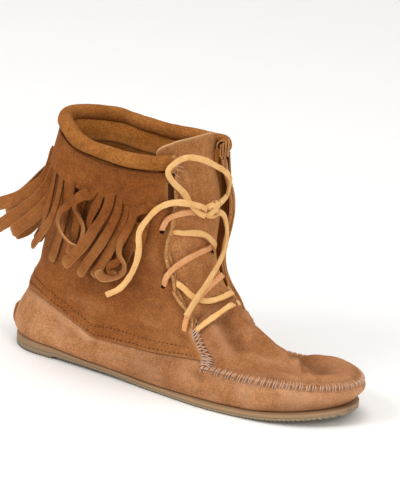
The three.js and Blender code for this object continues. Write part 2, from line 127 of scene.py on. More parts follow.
# Each row starts with the loop's level. back, front and z0 to z4 are shares of the sole's length and
# the boot's height, heel to toe are half widths as shares of the ball's width, and the last four say
# how the loop bends: its swing to the inner side, its round ends, and where the quarter's edge lies.
FIELDS = ("back", "front", "z0", "z1", "z2", "z3", "z4", "heel", "waist", "fore", "toe",
          "swing", "tail", "nose", "edge")
LOOPS = {
    0.00: (0.006, 0.98, 0.062, 0.06, 0.042, 0.035, 0.066,
           0.36, 0.4, 0.48, 0.42, 0.045, 0.14, 0.2, 0.63),
    0.08: (-0.008, 1.006, 0.095, 0.09, 0.07, 0.08, 0.12,
           0.385, 0.425, 0.5, 0.43, 0.045, 0.14, 0.2, 0.63),
    0.16: (-0.004, 1.01, 0.155, 0.135, 0.102, 0.12, 0.15,
           0.375, 0.42, 0.485, 0.42, 0.045, 0.14, 0.21, 0.64),
    0.24: (0.02, 0.998, 0.245, 0.19, 0.135, 0.166, 0.172,
           0.345, 0.41, 0.44, 0.385, 0.045, 0.15, 0.22, 0.65),
    0.30: (0.037, 0.968, 0.325, 0.245, 0.169, 0.2, 0.203,
           0.32, 0.395, 0.385, 0.335, 0.045, 0.16, 0.23, 0.655),
    0.40: (0.055, 0.88, 0.385, 0.335, 0.285, 0.272, 0.165,
           0.3, 0.37, 0.33, 0.22, 0.035, 0.17, 0.26, 0.66),
    0.48: (0.062, 0.77, 0.44, 0.405, 0.37, 0.345, 0.25,
           0.29, 0.35, 0.31, 0.15, 0.02, 0.18, 0.3, 0.73),
    0.56: (0.07, 0.655, 0.505, 0.48, 0.455, 0.425, 0.37,
           0.285, 0.345, 0.31, 0.2, 0.0, 0.2, 0.3, 0.79),
    0.66: (0.075, 0.567, 0.61, 0.595, 0.58, 0.555, 0.52,
           0.275, 0.35, 0.345, 0.3, 0.0, 0.24, 0.22, 0.87),
    0.80: (0.083, 0.54, 0.77, 0.76, 0.742, 0.735, 0.735,
           0.265, 0.37, 0.41, 0.4, 0.0, 0.27, 0.16, 0.945),
    1.00: (0.1, 0.526, 1.01, 0.996, 0.966, 0.956, 0.974,
           0.255, 0.385, 0.44, 0.42, 0.0, 0.29, 0.15, 0.96),
}
HEIGHTS_AT = (0, 0.17, 0.333, 0.667, 1)
WIDTHS_AT = (0, 0.333, 0.667, 1)


def ease(start, end, x):
    """0 before start, 1 after end, and a smooth rise in between."""
    t = np.clip((x - start) / (end - start), 0, 1)
    return t * t * (3 - 2 * t)


def through(places, values, x):
    """A smooth curve through values at places, read at x."""
    places = np.asarray(places, float)
    x = np.asarray(x, float)
    values = np.stack([np.broadcast_to(np.asarray(value, float), x.shape) for value in values])
    last = len(places) - 1
    slopes = []
    for k in range(last + 1):
        low, high = max(k - 1, 0), min(k + 1, last)
        slopes.append((values[high] - values[low]) / (places[high] - places[low]))
    slopes = np.stack(slopes)
    i = np.clip(np.searchsorted(places, x) - 1, 0, last - 1)
    step = places[i + 1] - places[i]
    t = (x - places[i]) / step

    def pick(stack, k):
        return np.take_along_axis(stack, k[None], 0)[0]

    return ((2 * t**3 - 3 * t**2 + 1) * pick(values, i) + (t**3 - 2 * t**2 + t) * pick(slopes, i) * step
            + (3 * t**2 - 2 * t**3) * pick(values, i + 1) + (t**3 - t**2) * pick(slopes, i + 1) * step)


fine_levels = np.linspace(0, 1, 2001)
loop_curves = {name: through(tuple(LOOPS), [row[k] for row in LOOPS.values()], fine_levels)
               for k, name in enumerate(FIELDS)}


def loop_field(v, name):
    """One field of the loops at level v."""
    return np.interp(np.clip(v, 0, 1), fine_levels, loop_curves[name])


def sole_share(x):
    """How far along the sole x is: 0 at the back of the heel, 1 at the toe."""
    return (x + heel_setback) / sole_length


def sole_spring(x):
    """How far the sole is turned up at x, towards the toe."""
    return toe_spring * np.clip((sole_share(x) - 0.714) / 0.286, 0, 1.1) ** 2


def sole_top(x):
    """The height of the sole's upper side at x."""
    t = sole_share(x)
    rear = heel_thickness + (waist_thickness - heel_thickness) * ease(0.119, 0.317, t)
    return rear + (fore_thickness - waist_thickness) * ease(0.298, 0.536, t) + sole_spring(x)


# %% [markdown]
# A worn vamp isn't an even shape: beyond a crest along its middle it has sunk. That is said once, in
# the skin itself, so that panels, seams and laces all sink with it. A place on the skin is a level, 0
# at the sole and 1 at the collar, and a column, 0 at the back, 16 at the quarter's front edge and 22
# in front. The columns follow the leather's own edges, so that a panel's edge is a single number.

# %% The skin, its normals and its columns
fold_depth = 10.0
fold_run = 0.16 * ball_width
fold_crest = 0.017 * ball_width


def fold_at(x, y, z):
    """The vamp has taken a fold: beyond a crest along its middle the inner side lies lower."""
    along = ease(0.563, 0.675, sole_share(x)) * (1 - ease(0.722, 0.905, sole_share(x)))
    return fold_depth * ease(0, fold_run, y - fold_crest) * along * ease(0.082, 0.233, z / boot_height)


def skin(v, theta, side):
    """Points of the plain skin. theta runs from 0 at the back to pi at the front."""
    v, theta, side = np.broadcast_arrays(np.asarray(v, float), np.asarray(theta, float), side)
    t = (1 - np.cos(theta)) / 2
    f = {name: loop_field(v, name) for name in FIELDS}
    x = (f["back"] + (f["front"] - f["back"]) * t) * sole_length - heel_setback
    half = through(WIDTHS_AT, [f["heel"], f["waist"], f["fore"], f["toe"]], t) * ball_width
    middle = f["swing"] * ball_width * ease(0.4, 1, t)
    tail = np.sqrt(np.clip(1 - np.clip((f["tail"] - t) / f["tail"], 0, 1) ** 2, 0, 1))
    nose = np.sqrt(np.clip(1 - np.clip((t - 1 + f["nose"]) / f["nose"], 0, 1) ** 2, 0, 1))
    z = through(HEIGHTS_AT, [f[k] for k in ("z0", "z1", "z2", "z3", "z4")], t) * boot_height
    z = z + np.clip(v - 1, 0, 9) * 60
    first = LOOPS[0.0][FIELDS.index("z0"):FIELDS.index("z0") + 5]
    low = np.clip(1 - v / 0.08, 0, 1)
    z = z + low * (sole_top(x) + gap - through(HEIGHTS_AT, first, t) * boot_height)
    y = middle + side * half * tail * nose
    return np.stack([x, y, z - fold_at(x, y, z)], -1)


def unit(a):
    """The same directions with a length of one."""
    return a / np.maximum(np.linalg.norm(a, axis=-1, keepdims=True), 1e-9)


def skin_normal(v, theta, side):
    """The way straight out of the skin."""
    v, theta, side = np.broadcast_arrays(np.asarray(v, float), np.asarray(theta, float), side)
    w = np.clip(v, 0.004, 0.996)
    q = np.clip(theta, 0.03, math.pi - 0.03)
    rise = skin(w + 0.004, q, side) - skin(w - 0.004, q, side)
    along = skin(w, q + 0.03, side) - skin(w, q - 0.03, side)
    n = unit(np.cross(along, rise)) * np.where(side > 0, -1.0, 1.0)[..., None]
    n[..., 1] = np.where((theta < 0.03) | (theta > math.pi - 0.03), 0, n[..., 1])
    return unit(n)


SIDE, FRONT = 16, 6
HALF = SIDE + FRONT
THROAT = 0.42
throat_run = 8.0


def column_theta(v, c):
    """The theta of column c, counted from the back, at level v."""
    edge = np.arccos(1 - 2 * loop_field(v, "edge"))
    return np.where(c <= SIDE, edge * c / SIDE, edge + (math.pi - edge) * (c - SIDE) / FRONT)


throat_columns = np.linspace(SIDE, HALF, 25)
throat_start = skin(THROAT, column_theta(THROAT, SIDE), -1)[0]
throat_target = throat_start + throat_run * np.sin((throat_columns - SIDE) / FRONT * math.pi / 2)
low, high = np.full(25, THROAT), np.full(25, 0.66)
for step in range(30):
    mid = (low + high) / 2
    beyond = skin(mid, column_theta(mid, throat_columns), -1)[:, 0] > throat_target
    low, high = np.where(beyond, mid, low), np.where(beyond, high, mid)
throat_levels = np.where(throat_columns > SIDE, low, THROAT)


def place(v, column):
    """Level and column to level, theta and side. Columns run 0 to 44 once round, from the back."""
    v, column = np.broadcast_arrays(np.asarray(v, float), np.asarray(column, float))
    column = np.mod(column, 2 * HALF)
    side = np.where(column <= HALF, -1, 1)
    c = np.where(column <= HALF, column, 2 * HALF - column)
    rise = np.interp(c, throat_columns, throat_levels) - THROAT
    over = np.where(v < THROAT, np.clip((v - 0.30) / 0.12, 0, 1), np.clip((1 - v) / 0.58, 0, 1))
    bent = v + rise * over
    return bent, column_theta(bent, c), side


def on_skin(v, column, off=0.0):
    """Points at a level and a column, off millimetres out of the skin."""
    spot = place(v, column)
    return skin(*spot) + skin_normal(*spot) * np.asarray(off)[..., None]


print("throat opens at x =", round(float(throat_start), 1), "mm")

# %% [markdown]
# ## Placing along lines of sight
# Some things are easiest to place by where they are seen in the photograph: a strip of fringe, a
# lace, a crease. A line of sight goes out from the camera through that pixel, and the piece goes
# where it meets the skin, or a surface a few millimetres over it. So it sits on the boot from
# every side, and not only from this one. Where a strip hangs clear of the boot, the line of sight
# stops at a given distance to the side instead.

# %% Lines of sight
look_v, look_c = np.meshgrid(np.linspace(0, 1.3, 150), np.linspace(-7, 30, 240), indexing="ij")
look_spots = place(look_v, look_c)
look_points = skin(*look_spots)
look_normals = skin_normal(*look_spots)
look_facing = look_normals @ back > 0.04


def seen_spots(pixels, lift=0.0):
    """Levels and columns where lines of sight through pixels meet the skin, or a height over it."""
    pixels = np.asarray(pixels, float)
    lift = np.broadcast_to(np.asarray(lift, float), len(pixels))
    v, c = np.zeros(len(pixels)), np.zeros(len(pixels))
    for k, (pixel, off) in enumerate(zip(pixels, lift)):
        miss = np.linalg.norm(picture(look_points + look_normals * off) - pixel, axis=-1)
        best = np.argmin(np.where(look_facing, miss, 1e9))
        v[k], c[k] = look_v.flat[best], look_c.flat[best]
    for step in range(3):
        here = picture(on_skin(v, c, lift))
        up_v = (picture(on_skin(v + 0.003, c, lift)) - here) / 0.003
        up_c = (picture(on_skin(v, c + 0.05, lift)) - here) / 0.05
        miss = pixels - here
        area = up_v[:, 0] * up_c[:, 1] - up_v[:, 1] * up_c[:, 0]
        area = np.where(np.abs(area) < 1e-3, 1e9, area)
        v = v + np.clip((miss[:, 0] * up_c[:, 1] - miss[:, 1] * up_c[:, 0]) / area, -0.01, 0.01)
        c = c + np.clip((miss[:, 1] * up_v[:, 0] - miss[:, 0] * up_v[:, 1]) / area, -0.2, 0.2)
    return v, c


def seen(pixels, lift=0.0):
    """Points over the skin where lines of sight through pixels meet it, with their normals."""
    v, c = seen_spots(pixels, lift)
    return on_skin(v, c, np.broadcast_to(lift, v.shape)), skin_normal(*place(v, c))


def seen_at_width(pixels, y):
    """Points where lines of sight through pixels reach the widths y, in millimetres."""
    pixels = np.asarray(pixels, float)
    eye = look_at + back * distance
    way = (-back + right * (pixels[:, :1] - picture_width / 2 + off_centre[0]) / focal_px
           + up * (picture_height / 2 + off_centre[1] - pixels[:, 1:]) / focal_px)
    return eye + way * ((np.broadcast_to(y, len(pixels)) - eye[1]) / way[:, 1])[:, None]


probe = picture(on_skin(np.array([0.5]), np.array([10.0])))
found = seen(probe)[0]
print("a line of sight lands within", round(float(np.linalg.norm(picture(found) - probe)), 3), "px")

# %% [markdown]
# ## Meshes from nets of points
# Leather is a sheet with a thickness, so most pieces are two nets of points, one for each face,
# joined along every open edge. A lace or a strip of fringe is a closed ring of points drawn along
# a path. Both are plain mesh code, which keeps every edge exactly where it is cut.

# %% Mesh makers
def mesh_piece(name, points, faces, material, replaced=(), marks=None):
    """A piece of the boot. marks are values of each point that its finish reads, such as how worn it is and
    how much painted shade and darker tone it has.
    """
    data = bpy.data.meshes.new(name)
    data.from_pydata((np.asarray(points) * MM).tolist(), [], faces)
    data.validate()
    data.shade_smooth()
    for label, values in (marks or {}).items():
        layer = data.attributes.new(label, "FLOAT", "POINT")
        layer.data.foreach_set("value", np.asarray(values, np.float32).ravel())
    piece = in_scene(name, data)
    data.materials.append(material)
    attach(piece, "root")
    if replaced:
        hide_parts(*replaced)
    print(name, "has", len(faces), "faces")
    return piece


def sheet_faces(rows, columns, ring=False):
    """Faces of two nets, the outer one first, closed all round."""
    cells = columns if ring else columns - 1
    i, j = np.meshgrid(np.arange(rows - 1), np.arange(cells), indexing="ij")
    k = (j + 1) % columns
    a, b = i * columns + j, i * columns + k
    c, d = (i + 1) * columns + k, (i + 1) * columns + j
    n = rows * columns
    outer = np.stack([a, b, c, d], -1).reshape(-1, 4)
    inner = np.stack([a + n, d + n, c + n, b + n], -1).reshape(-1, 4)
    parts = [outer, inner]
    j = np.arange(cells)
    k = (j + 1) % columns
    top = (rows - 1) * columns
    parts.append(np.stack([k, j, j + n, k + n], -1))
    parts.append(np.stack([top + j, top + k, top + k + n, top + j + n], -1))
    if not ring:
        i = np.arange(rows - 1) * columns
        e = i + columns - 1
        parts.append(np.stack([i, i + columns, i + columns + n, i + n], -1))
        parts.append(np.stack([e + columns, e, e + n, e + columns + n], -1))
    return np.concatenate(parts).tolist()


def leather_sheet(name, outer, inner, material, replaced=(), marks=None, ring=False, flip=False):
    """A sheet between two nets of points, one for each of its faces."""
    rows, columns = outer.shape[:2]
    points = np.concatenate([outer.reshape(-1, 3), inner.reshape(-1, 3)])
    faces = sheet_faces(rows, columns, ring)
    if flip:
        faces = [face[::-1] for face in faces]
    both = {k: np.concatenate([np.ravel(a), np.ravel(a)]) for k, a in (marks or {}).items()}
    return mesh_piece(name, points, faces, material, replaced, both)


# %% Paths, strips and tubes
def run_along(line):
    """How far along a line of points each of them is."""
    return np.concatenate([[0], np.cumsum(np.linalg.norm(np.diff(line, axis=0), axis=1))])


def read_along(rows, places, at):
    """Rows of points, given at places, read in between them."""
    return np.stack([np.interp(at, places, rows[:, k]) for k in range(rows.shape[1])], -1)


def spread(rows, count):
    """Rows of points, read count times at even steps from the first to the last."""
    return read_along(rows, np.arange(len(rows)), np.linspace(0, len(rows) - 1, count))


def smooth_path(corners, step):
    """An even walk along a smooth curve through corners, with one point every step millimetres."""
    corners = np.asarray(corners, float)
    knots = np.concatenate([[0], np.cumsum(np.sqrt(np.linalg.norm(np.diff(corners, axis=0), axis=1)))])
    fine = np.linspace(0, knots[-1], 40 * len(corners))
    line = np.stack([through(knots, list(corners[:, k]), fine) for k in range(3)], -1)
    run = run_along(line)
    count = max(3, round(run[-1] / step) + 1)
    return read_along(line, run, np.linspace(0, run[-1], count))


def path_length(path):
    """The length of a path in millimetres."""
    return float(np.linalg.norm(np.diff(path, axis=0), axis=1).sum())


def ring_angles(sides):
    """Angles of the points round one ring of a strip."""
    return (np.arange(sides) + 0.5) / sides * 2 * math.pi


def ribbon_net(path, face, width, thickness, sides=12, power=0.45):
    """Rings of a flat strip with soft edges. face is the way its broad side looks."""
    along = unit(np.gradient(path, axis=0))
    across = unit(np.cross(along, face))
    out = np.cross(across, along)
    a = ring_angles(sides)
    flat = np.sign(np.cos(a)) * np.abs(np.cos(a)) ** power / 2
    deep = np.sign(np.sin(a)) * np.abs(np.sin(a)) ** power / 2
    w = np.broadcast_to(np.asarray(width, float), (len(path),))[:, None, None]
    t = np.broadcast_to(np.asarray(thickness, float), (len(path),))[:, None, None]
    sideways = across[:, None] * flat[None, :, None] * w
    return path[:, None] + sideways + out[:, None] * deep[None, :, None] * t


def tube_faces(count, sides, first=0):
    """Faces round rings of points, closed at both ends."""
    i, j = np.meshgrid(np.arange(count - 1), np.arange(sides), indexing="ij")
    k = (j + 1) % sides
    quads = np.stack([i * sides + j, (i + 1) * sides + j, (i + 1) * sides + k, i * sides + k], -1)
    faces = (quads.reshape(-1, 4) + first).tolist()
    end = first + (count - 1) * sides
    faces.append([first + j for j in range(sides)])
    faces.append([end + j for j in reversed(range(sides))])
    return faces


def tubes(name, nets, material, replaced=(), marks=None):
    """One mesh of several closed tubes, each a net of rings."""
    points, faces = [], []
    for net in nets:
        faces += tube_faces(*net.shape[:2], first=len(points))
        points += net.reshape(-1, 3).tolist()
    return mesh_piece(name, points, faces, material, replaced, marks)


# %% [markdown]
# A hide is never flat or even. A sum of a few soft waves that run in chance directions gives bumps of
# any size, and a seed makes them the same at each run.

# %% Unevenness
def waves(points, size, seed, count=9):
    """Soft seeded unevenness, about -1 to 1, with bumps about size millimetres across."""
    chance = np.random.default_rng(seed)
    total = np.zeros(points.shape[:-1])
    for k in range(count):
        way = chance.normal(size=3)
        way /= np.linalg.norm(way)
        turns = 2 * math.pi / (size * chance.uniform(1.3, 3.0))
        total += np.sin(points @ way * turns + chance.uniform(0, 2 * math.pi))
    return total / math.sqrt(count) / 1.2


def uneven(points, soft, size, fine, seed):
    """Leather is never flat: soft bumps of about size millimetres, and fine ones of about seven."""
    return soft * waves(points, size, seed) + fine * waves(points, 7, seed + 1)


# %% [markdown]
# ## Finishes
# Suede is split leather with its fibres brushed up. It has almost no gloss, its colour drifts where
# the nap lies one way or the other, and a worn edge is paler. Raw-cut laces show the leather's
# smooth side as well as its rough one. The sole is moulded rubber. Every colour is read as sRGB and
# turned to linear by one function, and one small function adds each node.

# %% Colours and nodes
def linear(code):
    """An sRGB hex code as linear red, green and blue, with full alpha."""
    values = [int(code[k:k + 2], 16) / 255 for k in (1, 3, 5)]
    return tuple(x / 12.92 if x <= 0.04045 else ((x + 0.055) / 1.055) ** 2.4 for x in values) + (1.0,)


def add(tree, kind, inputs=None, **settings):
    """One node with its settings, values and links."""
    node = tree.nodes.new(kind)
    for key, value in settings.items():
        setattr(node, key, value)
    for socket, value in (inputs or {}).items():
        if isinstance(value, bpy.types.NodeSocket):
            tree.links.new(value, node.inputs[socket])
        else:
            node.inputs[socket].default_value = value
    return node


def finish(name):
    """A new material and its empty node tree."""
    material = bpy.data.materials.new(name)
    material.use_nodes = True
    tree = material.node_tree
    tree.nodes.clear()
    return material, tree


def per_mm(size):
    """A noise scale with features about size millimetres across, on coordinates in metres."""
    return 1 / (size * MM)


# %% [markdown]
# ## Suede
# Suede is the inner split of a hide, sanded until its fibres stand up as a nap. A photograph of suede
# could be wrapped round the boot, but noise in three sizes has no seams and looks right from every
# side: patches where the nap lies one way, strokes a few millimetres long, and single fibres. A low
# sheen gives the pale bloom of fibres that are seen side on. Two values that each mesh carries lighten
# its rubbed edges and darken it, with painted shade in its creases, slits and hollows and under the
# pieces over it, and with darker tone.

# %% Suede and raw leather
# The dark brown that painted shade and darker tone are mixed towards.
shade_and_tone_brown = "#3a200e"


def nap_suede(name, deep, base, pale, edge, blotch=26, nap=1.0, lift=0.62, drift=0.55, bump=0.5,
              sheen=0.18):
    """Brushed split leather. blotch and nap are the sizes of its patches and fibres in millimetres."""
    material, tree = finish(name)
    spot = add(tree, "ShaderNodeTexCoord").outputs["Object"]
    patches = add(tree, "ShaderNodeTexNoise", {"Vector": spot, "Scale": per_mm(blotch), "Detail": 3.0,
                                               "Roughness": 0.55, "Distortion": 0.4})
    strokes = add(tree, "ShaderNodeTexNoise", {"Vector": spot, "Scale": per_mm(blotch / 6), "Detail": 3.0,
                                               "Roughness": 0.6})
    # Nap fibres are about 0.3 mm thick. They are drawn coarser, or the picture wouldn't show them.
    fibres = add(tree, "ShaderNodeTexNoise", {"Vector": spot, "Scale": per_mm(nap), "Detail": 4.0,
                                              "Roughness": 0.75})
    ramp = add(tree, "ShaderNodeValToRGB", {"Fac": patches.outputs["Fac"]})
    ramp.color_ramp.elements[0].position = 0.3
    ramp.color_ramp.elements[0].color = linear(deep)
    ramp.color_ramp.elements[1].position = 0.7
    ramp.color_ramp.elements[1].color = linear(pale)
    middle = ramp.color_ramp.elements.new(0.5)
    middle.color = linear(base)
    mottled = add(tree, "ShaderNodeMix", {"Factor": drift, 6: linear(base), 7: ramp.outputs["Color"]},
                  data_type="RGBA")
    grain = add(tree, "ShaderNodeMapRange", {
        "Value": strokes.outputs["Fac"], "From Min": 0.3, "From Max": 0.7,
        "To Min": 1 - lift * 0.22, "To Max": 1 + lift * 0.22})
    hairs = add(tree, "ShaderNodeMapRange", {
        "Value": fibres.outputs["Fac"], "From Min": 0.3, "From Max": 0.7,
        "To Min": 1 - lift * 0.75, "To Max": 1 + lift * 0.75})
    strength = add(tree, "ShaderNodeMath", {0: grain.outputs["Result"], 1: hairs.outputs["Result"]},
                   operation="MULTIPLY")
    shaded = add(tree, "ShaderNodeVectorMath", {0: mottled.outputs[2], "Scale": strength.outputs[0]},
                 operation="SCALE")
    worn = add(tree, "ShaderNodeAttribute", attribute_name="worn")
    painted_shade_and_tone = add(tree, "ShaderNodeAttribute", attribute_name="painted_shade_and_tone")
    rubbed = add(tree, "ShaderNodeMix", {
        "Factor": worn.outputs["Fac"], 6: shaded.outputs[0], 7: linear(edge)}, data_type="RGBA")
    # Mixed towards dark brown: painted shade in creases, slits and hollows, and darker tone.
    darkened = add(tree, "ShaderNodeMix", {
        "Factor": painted_shade_and_tone.outputs["Fac"], 6: rubbed.outputs[2], 7: linear(shade_and_tone_brown)}, data_type="RGBA")
    mixed = add(tree, "ShaderNodeMath", {0: fibres.outputs["Fac"], 1: strokes.outputs["Fac"]},
                operation="ADD")
    relief = add(tree, "ShaderNodeBump", {"Height": mixed.outputs[0], "Strength": bump,
                                          "Distance": 0.6 * MM})
    surface = add(tree, "ShaderNodeBsdfPrincipled", {
        "Base Color": darkened.outputs[2], "Roughness": 0.92, "IOR": 1.45, "Specular IOR Level": 0.12,
        "Sheen Weight": sheen, "Sheen Roughness": 0.45, "Sheen Tint": linear(pale),
        "Normal": relief.outputs["Normal"]})
    add(tree, "ShaderNodeOutputMaterial", {"Surface": surface.outputs[0]})
    return material


# %% [markdown]
# Each leather is given four colours: where its nap is darkest, its middle, where it is palest, and its
# rubbed edge. The comment over each says what it is, how its surface was made and what the eye sees.

# %% The leathers and threads of this boot
# Split leather, brushed: the wrap's suede, made darker partly for its nap and partly as painted shade
# of the fringe over it. Red-brown patches show where the nap lies away from the light.
shaft_suede_with_painted_shade = nap_suede("brushed_suede_of_the_shaft", "#743f19", "#8b5229", "#9d6436", "#c59161")
# The same brushed split, paler, since the shaft's copy of it is darkened with painted shade.
wrap_suede = nap_suede("brushed_suede_of_the_wrap", "#98643c", "#ac764d", "#be875d", "#dbad88")
# Between the two in colour. It bends most, so its nap is a little crushed.
apron_suede = nap_suede("brushed_suede_of_the_apron", "#885732", "#9b653e", "#ad754c", "#cc9c76")
# The palest brushed panel. The laces and the quarter cover most of it.
tongue_suede = nap_suede("brushed_suede_of_the_tongue", "#a36a3b", "#b67c4b", "#c68c5a", "#deb083")
# Brushed suede stretched over foam: smaller patches and a deeper ochre.
roll_suede = nap_suede("brushed_suede_of_the_collar", "#7f4c1e", "#955c2a", "#a76e38", "#cf9a66", blotch=14)
# The darkest brushed suede, whose slit edges are pale.
fringe_suede = nap_suede("cut_suede_of_the_fringe", "#6c3a17", "#834a20", "#965c2b", "#c9935f")
# Suede cut with a knife, where the pale middle of the hide shows.
raw_suede = nap_suede("cut_edge_of_suede", "#a06c40", "#b98452", "#cb9968", "#dcb286", blotch=6)
# Brushed suede turned inwards, an orange tan that daylight hasn't faded.
lining_suede = nap_suede("suede_lining", "#9c602a", "#bd7836", "#d09049", "#dba873", drift=0.9)
# Lace leather, cut raw, with its tanned grain side out: yellow, smooth, hardly any nap.
lace_leather = nap_suede("raw_lace_leather", "#d9a360", "#e7b678", "#f0c58c", "#f5d4a4", blotch=9, lift=0.2,
                         bump=0.3)
# The split side of the same lace: pinker and rougher.
flesh_leather = nap_suede("flesh_side_of_the_lace", "#cc8a58", "#dc9e6c", "#e6b082", "#eec6a2", blotch=7,
                          lift=0.24)
# Linen thread, twisted and waxed, which has gone a pale pinkish tan.
thread = nap_suede("waxed_linen_thread", "#ad866a", "#c5a088", "#d6b69e", "#e6cdb8", blotch=5, lift=0.15)
# Dark waxed thread, of which only small dashes show in the nap.
dark_thread = nap_suede("dark_waxed_thread", "#4a2a15", "#5a3419", "#693f20", "#7d5436", blotch=5, lift=0.2)
# Smooth leather under the foot, pressed flat by wear.
insole_leather = nap_suede("smooth_sock_leather", "#94602f", "#ad7842", "#bd8a55", "#c99a68")
# Leather inside a punched hole, which no light reaches, so the eye takes it for black.
hole_dark = nap_suede("dark_inside_of_a_punched_hole", "#140a04", "#1c0f07", "#24150a", "#2e1b0e", blotch=3,
                      lift=0.2, sheen=0.0)
print("materials so far:", len(bpy.data.materials))

# %% [markdown]
# ## Rubber
# The sole is moulded rubber, tan right through. It has no nap: its skin is even and faintly satin, with
# the small pits that a mould leaves, and the edge that scuffs the ground has gone grey and dusty.

# %% Moulded rubber
def moulded_rubber(name, base, pale, dust):
    """Rubber out of a mould, dusty where it is worn."""
    material, tree = finish(name)
    spot = add(tree, "ShaderNodeTexCoord").outputs["Object"]
    patches = add(tree, "ShaderNodeTexNoise", {"Vector": spot, "Scale": per_mm(14), "Detail": 3.0,
                                               "Roughness": 0.55})
    # The mould's pits are about 0.2 mm across. They are drawn coarser, so that they show.
    pits = add(tree, "ShaderNodeTexNoise", {"Vector": spot, "Scale": per_mm(0.9), "Detail": 3.0,
                                            "Roughness": 0.6})
    mottled = add(tree, "ShaderNodeMix", {
        "Factor": patches.outputs["Fac"], 6: linear(base), 7: linear(pale)}, data_type="RGBA")
    worn = add(tree, "ShaderNodeAttribute", attribute_name="worn")
    painted_shade_and_tone = add(tree, "ShaderNodeAttribute", attribute_name="painted_shade_and_tone")
    dusty = add(tree, "ShaderNodeMix", {
        "Factor": worn.outputs["Fac"], 6: mottled.outputs[2], 7: linear(dust)}, data_type="RGBA")
    # Mixed towards dark brown: painted shade in the groove and along the top of the edge, and darker tone.
    darkened = add(tree, "ShaderNodeMix", {
        "Factor": painted_shade_and_tone.outputs["Fac"], 6: dusty.outputs[2], 7: linear("#3a2818")}, data_type="RGBA")
    satin = add(tree, "ShaderNodeMapRange", {"Value": pits.outputs["Fac"], "To Min": 0.58, "To Max": 0.82})
    relief = add(tree, "ShaderNodeBump", {"Height": pits.outputs["Fac"], "Strength": 0.2,
                                          "Distance": 0.3 * MM})
    surface = add(tree, "ShaderNodeBsdfPrincipled", {
        "Base Color": darkened.outputs[2], "Roughness": satin.outputs["Result"], "IOR": 1.52,
        "Specular IOR Level": 0.3, "Normal": relief.outputs["Normal"]})
    add(tree, "ShaderNodeOutputMaterial", {"Surface": surface.outputs[0]})
    return material


rubber_tan = moulded_rubber("moulded_rubber_of_the_sole", "#957350", "#ab8866", "#96886f")
print("finishes:", len(bpy.data.materials))

# %% [markdown]
# ## The laces
# The laces are narrow strips cut from the same leather, about 4 mm wide, with no tips. Their loose
# ends come before the rest, because their length is fixed: one end hangs down the outer side, one
# down the front, and a loop stands out over the collar. Each is a flat strip drawn along its path.

# %% Loose ends of the lace
lace_width = 3.8
lace_thickness = 1.9
lace_sides = 14


def spots_over_foot(y, z):
    """Levels, thetas and sides of the skin over the foot's front at widths y and heights z."""
    y, z = np.atleast_1d(y).astype(float), np.atleast_1d(z).astype(float)
    side = np.where(y < 0, -1, 1)
    v_low, v_high = np.full(y.shape, 0.34), np.full(y.shape, 1.2)
    for step in range(24):
        v = (v_low + v_high) / 2
        t_low, t_high = np.full(y.shape, 1.8), np.full(y.shape, math.pi)
        for turn_step in range(24):
            theta = (t_low + t_high) / 2
            wide = np.abs(skin(v, theta, side)[:, 1]) > np.abs(y)
            t_low, t_high = np.where(wide, theta, t_low), np.where(wide, t_high, theta)
        under = skin(v, t_low, side)[:, 2] < z
        v_low, v_high = np.where(under, v, v_low), np.where(under, v_high, v)
    return v_low, t_low, side


knot_spot = spots_over_foot(-4, 114.5)
knot_at = (skin(*knot_spot) + skin_normal(*knot_spot) * 7.7)[0]

LACE_END_SIDE = [
    knot_at + (0.2, -7.4, 1.9), (113.5, -17, 120), (110, -26, 123), (104, -34, 124), (98, -41, 121),
    (93, -45, 114), (88, -47, 104), (87, -45, 92), (84, -43, 82), (78, -41, 71), (71, -41, 62),
    (62, -42, 56)]
LACE_END_FRONT = [
    knot_at + (0, 6.9, -2.7), (113, 8, 109), (114, 10, 103), (115, 10, 96), (116.5, 7, 90),
    (118.5, 1, 85), (120, -7, 79), (120.5, -16, 72), (118, -24, 62), (116, -31, 52)]
LACE_LOOP_TOP = [
    knot_at + (-0.3, -7.4, -2.7), (110.4, -15.8, 115), (107, -20.5, 121), (103.6, -23.5, 127.7),
    (100.3, -32, 136.5), (99.6, -36.4, 143), (101.3, -35.5, 147.4), (105.5, -27, 151.9),
    (110.8, -16.5, 150), (115.1, -6, 144.3), (117, 1, 139.7), (116.3, 7.5, 133.7),
    (113.2, 11.5, 126.4), (110, 14, 120),
    knot_at + (0, 7.4, 2.2)]


def lace_net(path, face, seed):
    """A lace's rings: its cut edges waver a little, and it is thinner in places."""
    run = np.linspace(0, path_length(path), len(path))
    spots = np.stack([run, run * 0, run * 0 + seed], -1)
    width = lace_width * (1 + 0.09 * waves(spots, 7, seed) + 0.05 * waves(spots, 2.2, seed + 1))
    thickness = lace_thickness * (1 + 0.12 * waves(spots, 9, seed + 2))
    return ribbon_net(path, face, width, thickness, sides=lace_sides, power=0.5)


def lace_marks(nets):
    """A lace's cut edges are darker than its face, and painted shade darkens its underside a little."""
    a = ring_angles(lace_sides)
    edge = 0.2 * (np.abs(np.cos(a)) > 0.85) + 0.06 * (np.sin(a) < 0)
    painted_shade_and_tone = np.concatenate([np.tile(edge, len(net)) for net in nets])
    return {"painted_shade_and_tone": painted_shade_and_tone, "worn": 0 * painted_shade_and_tone}


def outward(path):
    """Away from the boot's middle, level with the floor."""
    return unit(np.stack([path[:, 0] - 50, path[:, 1], path[:, 2] * 0], -1))


LOOSE_ENDS = {
    "lace_end_side": (LACE_END_SIDE, "bare"),
    "lace_end_front": (LACE_END_FRONT, "bare"),
    "lace_loop_top": (LACE_LOOP_TOP, "object"),
}
for name, (corners, end) in LOOSE_ENDS.items():
    path = smooth_path(corners, 0.9)
    strip = [lace_net(path, outward(path), len(name))]
    piece = tubes(name + "_strip", strip, lace_leather, [name], lace_marks(strip))
    print(name, round(path_length(path)), "mm long")

# %% [markdown]
# ## The knot
# The lace is tied in one tight, flat knot, and its loose ends leave it on both sides. A knot could be
# pulled tight by simulation. Two short paths wound round one point are simpler, and they keep it as
# small as it is in the photograph.

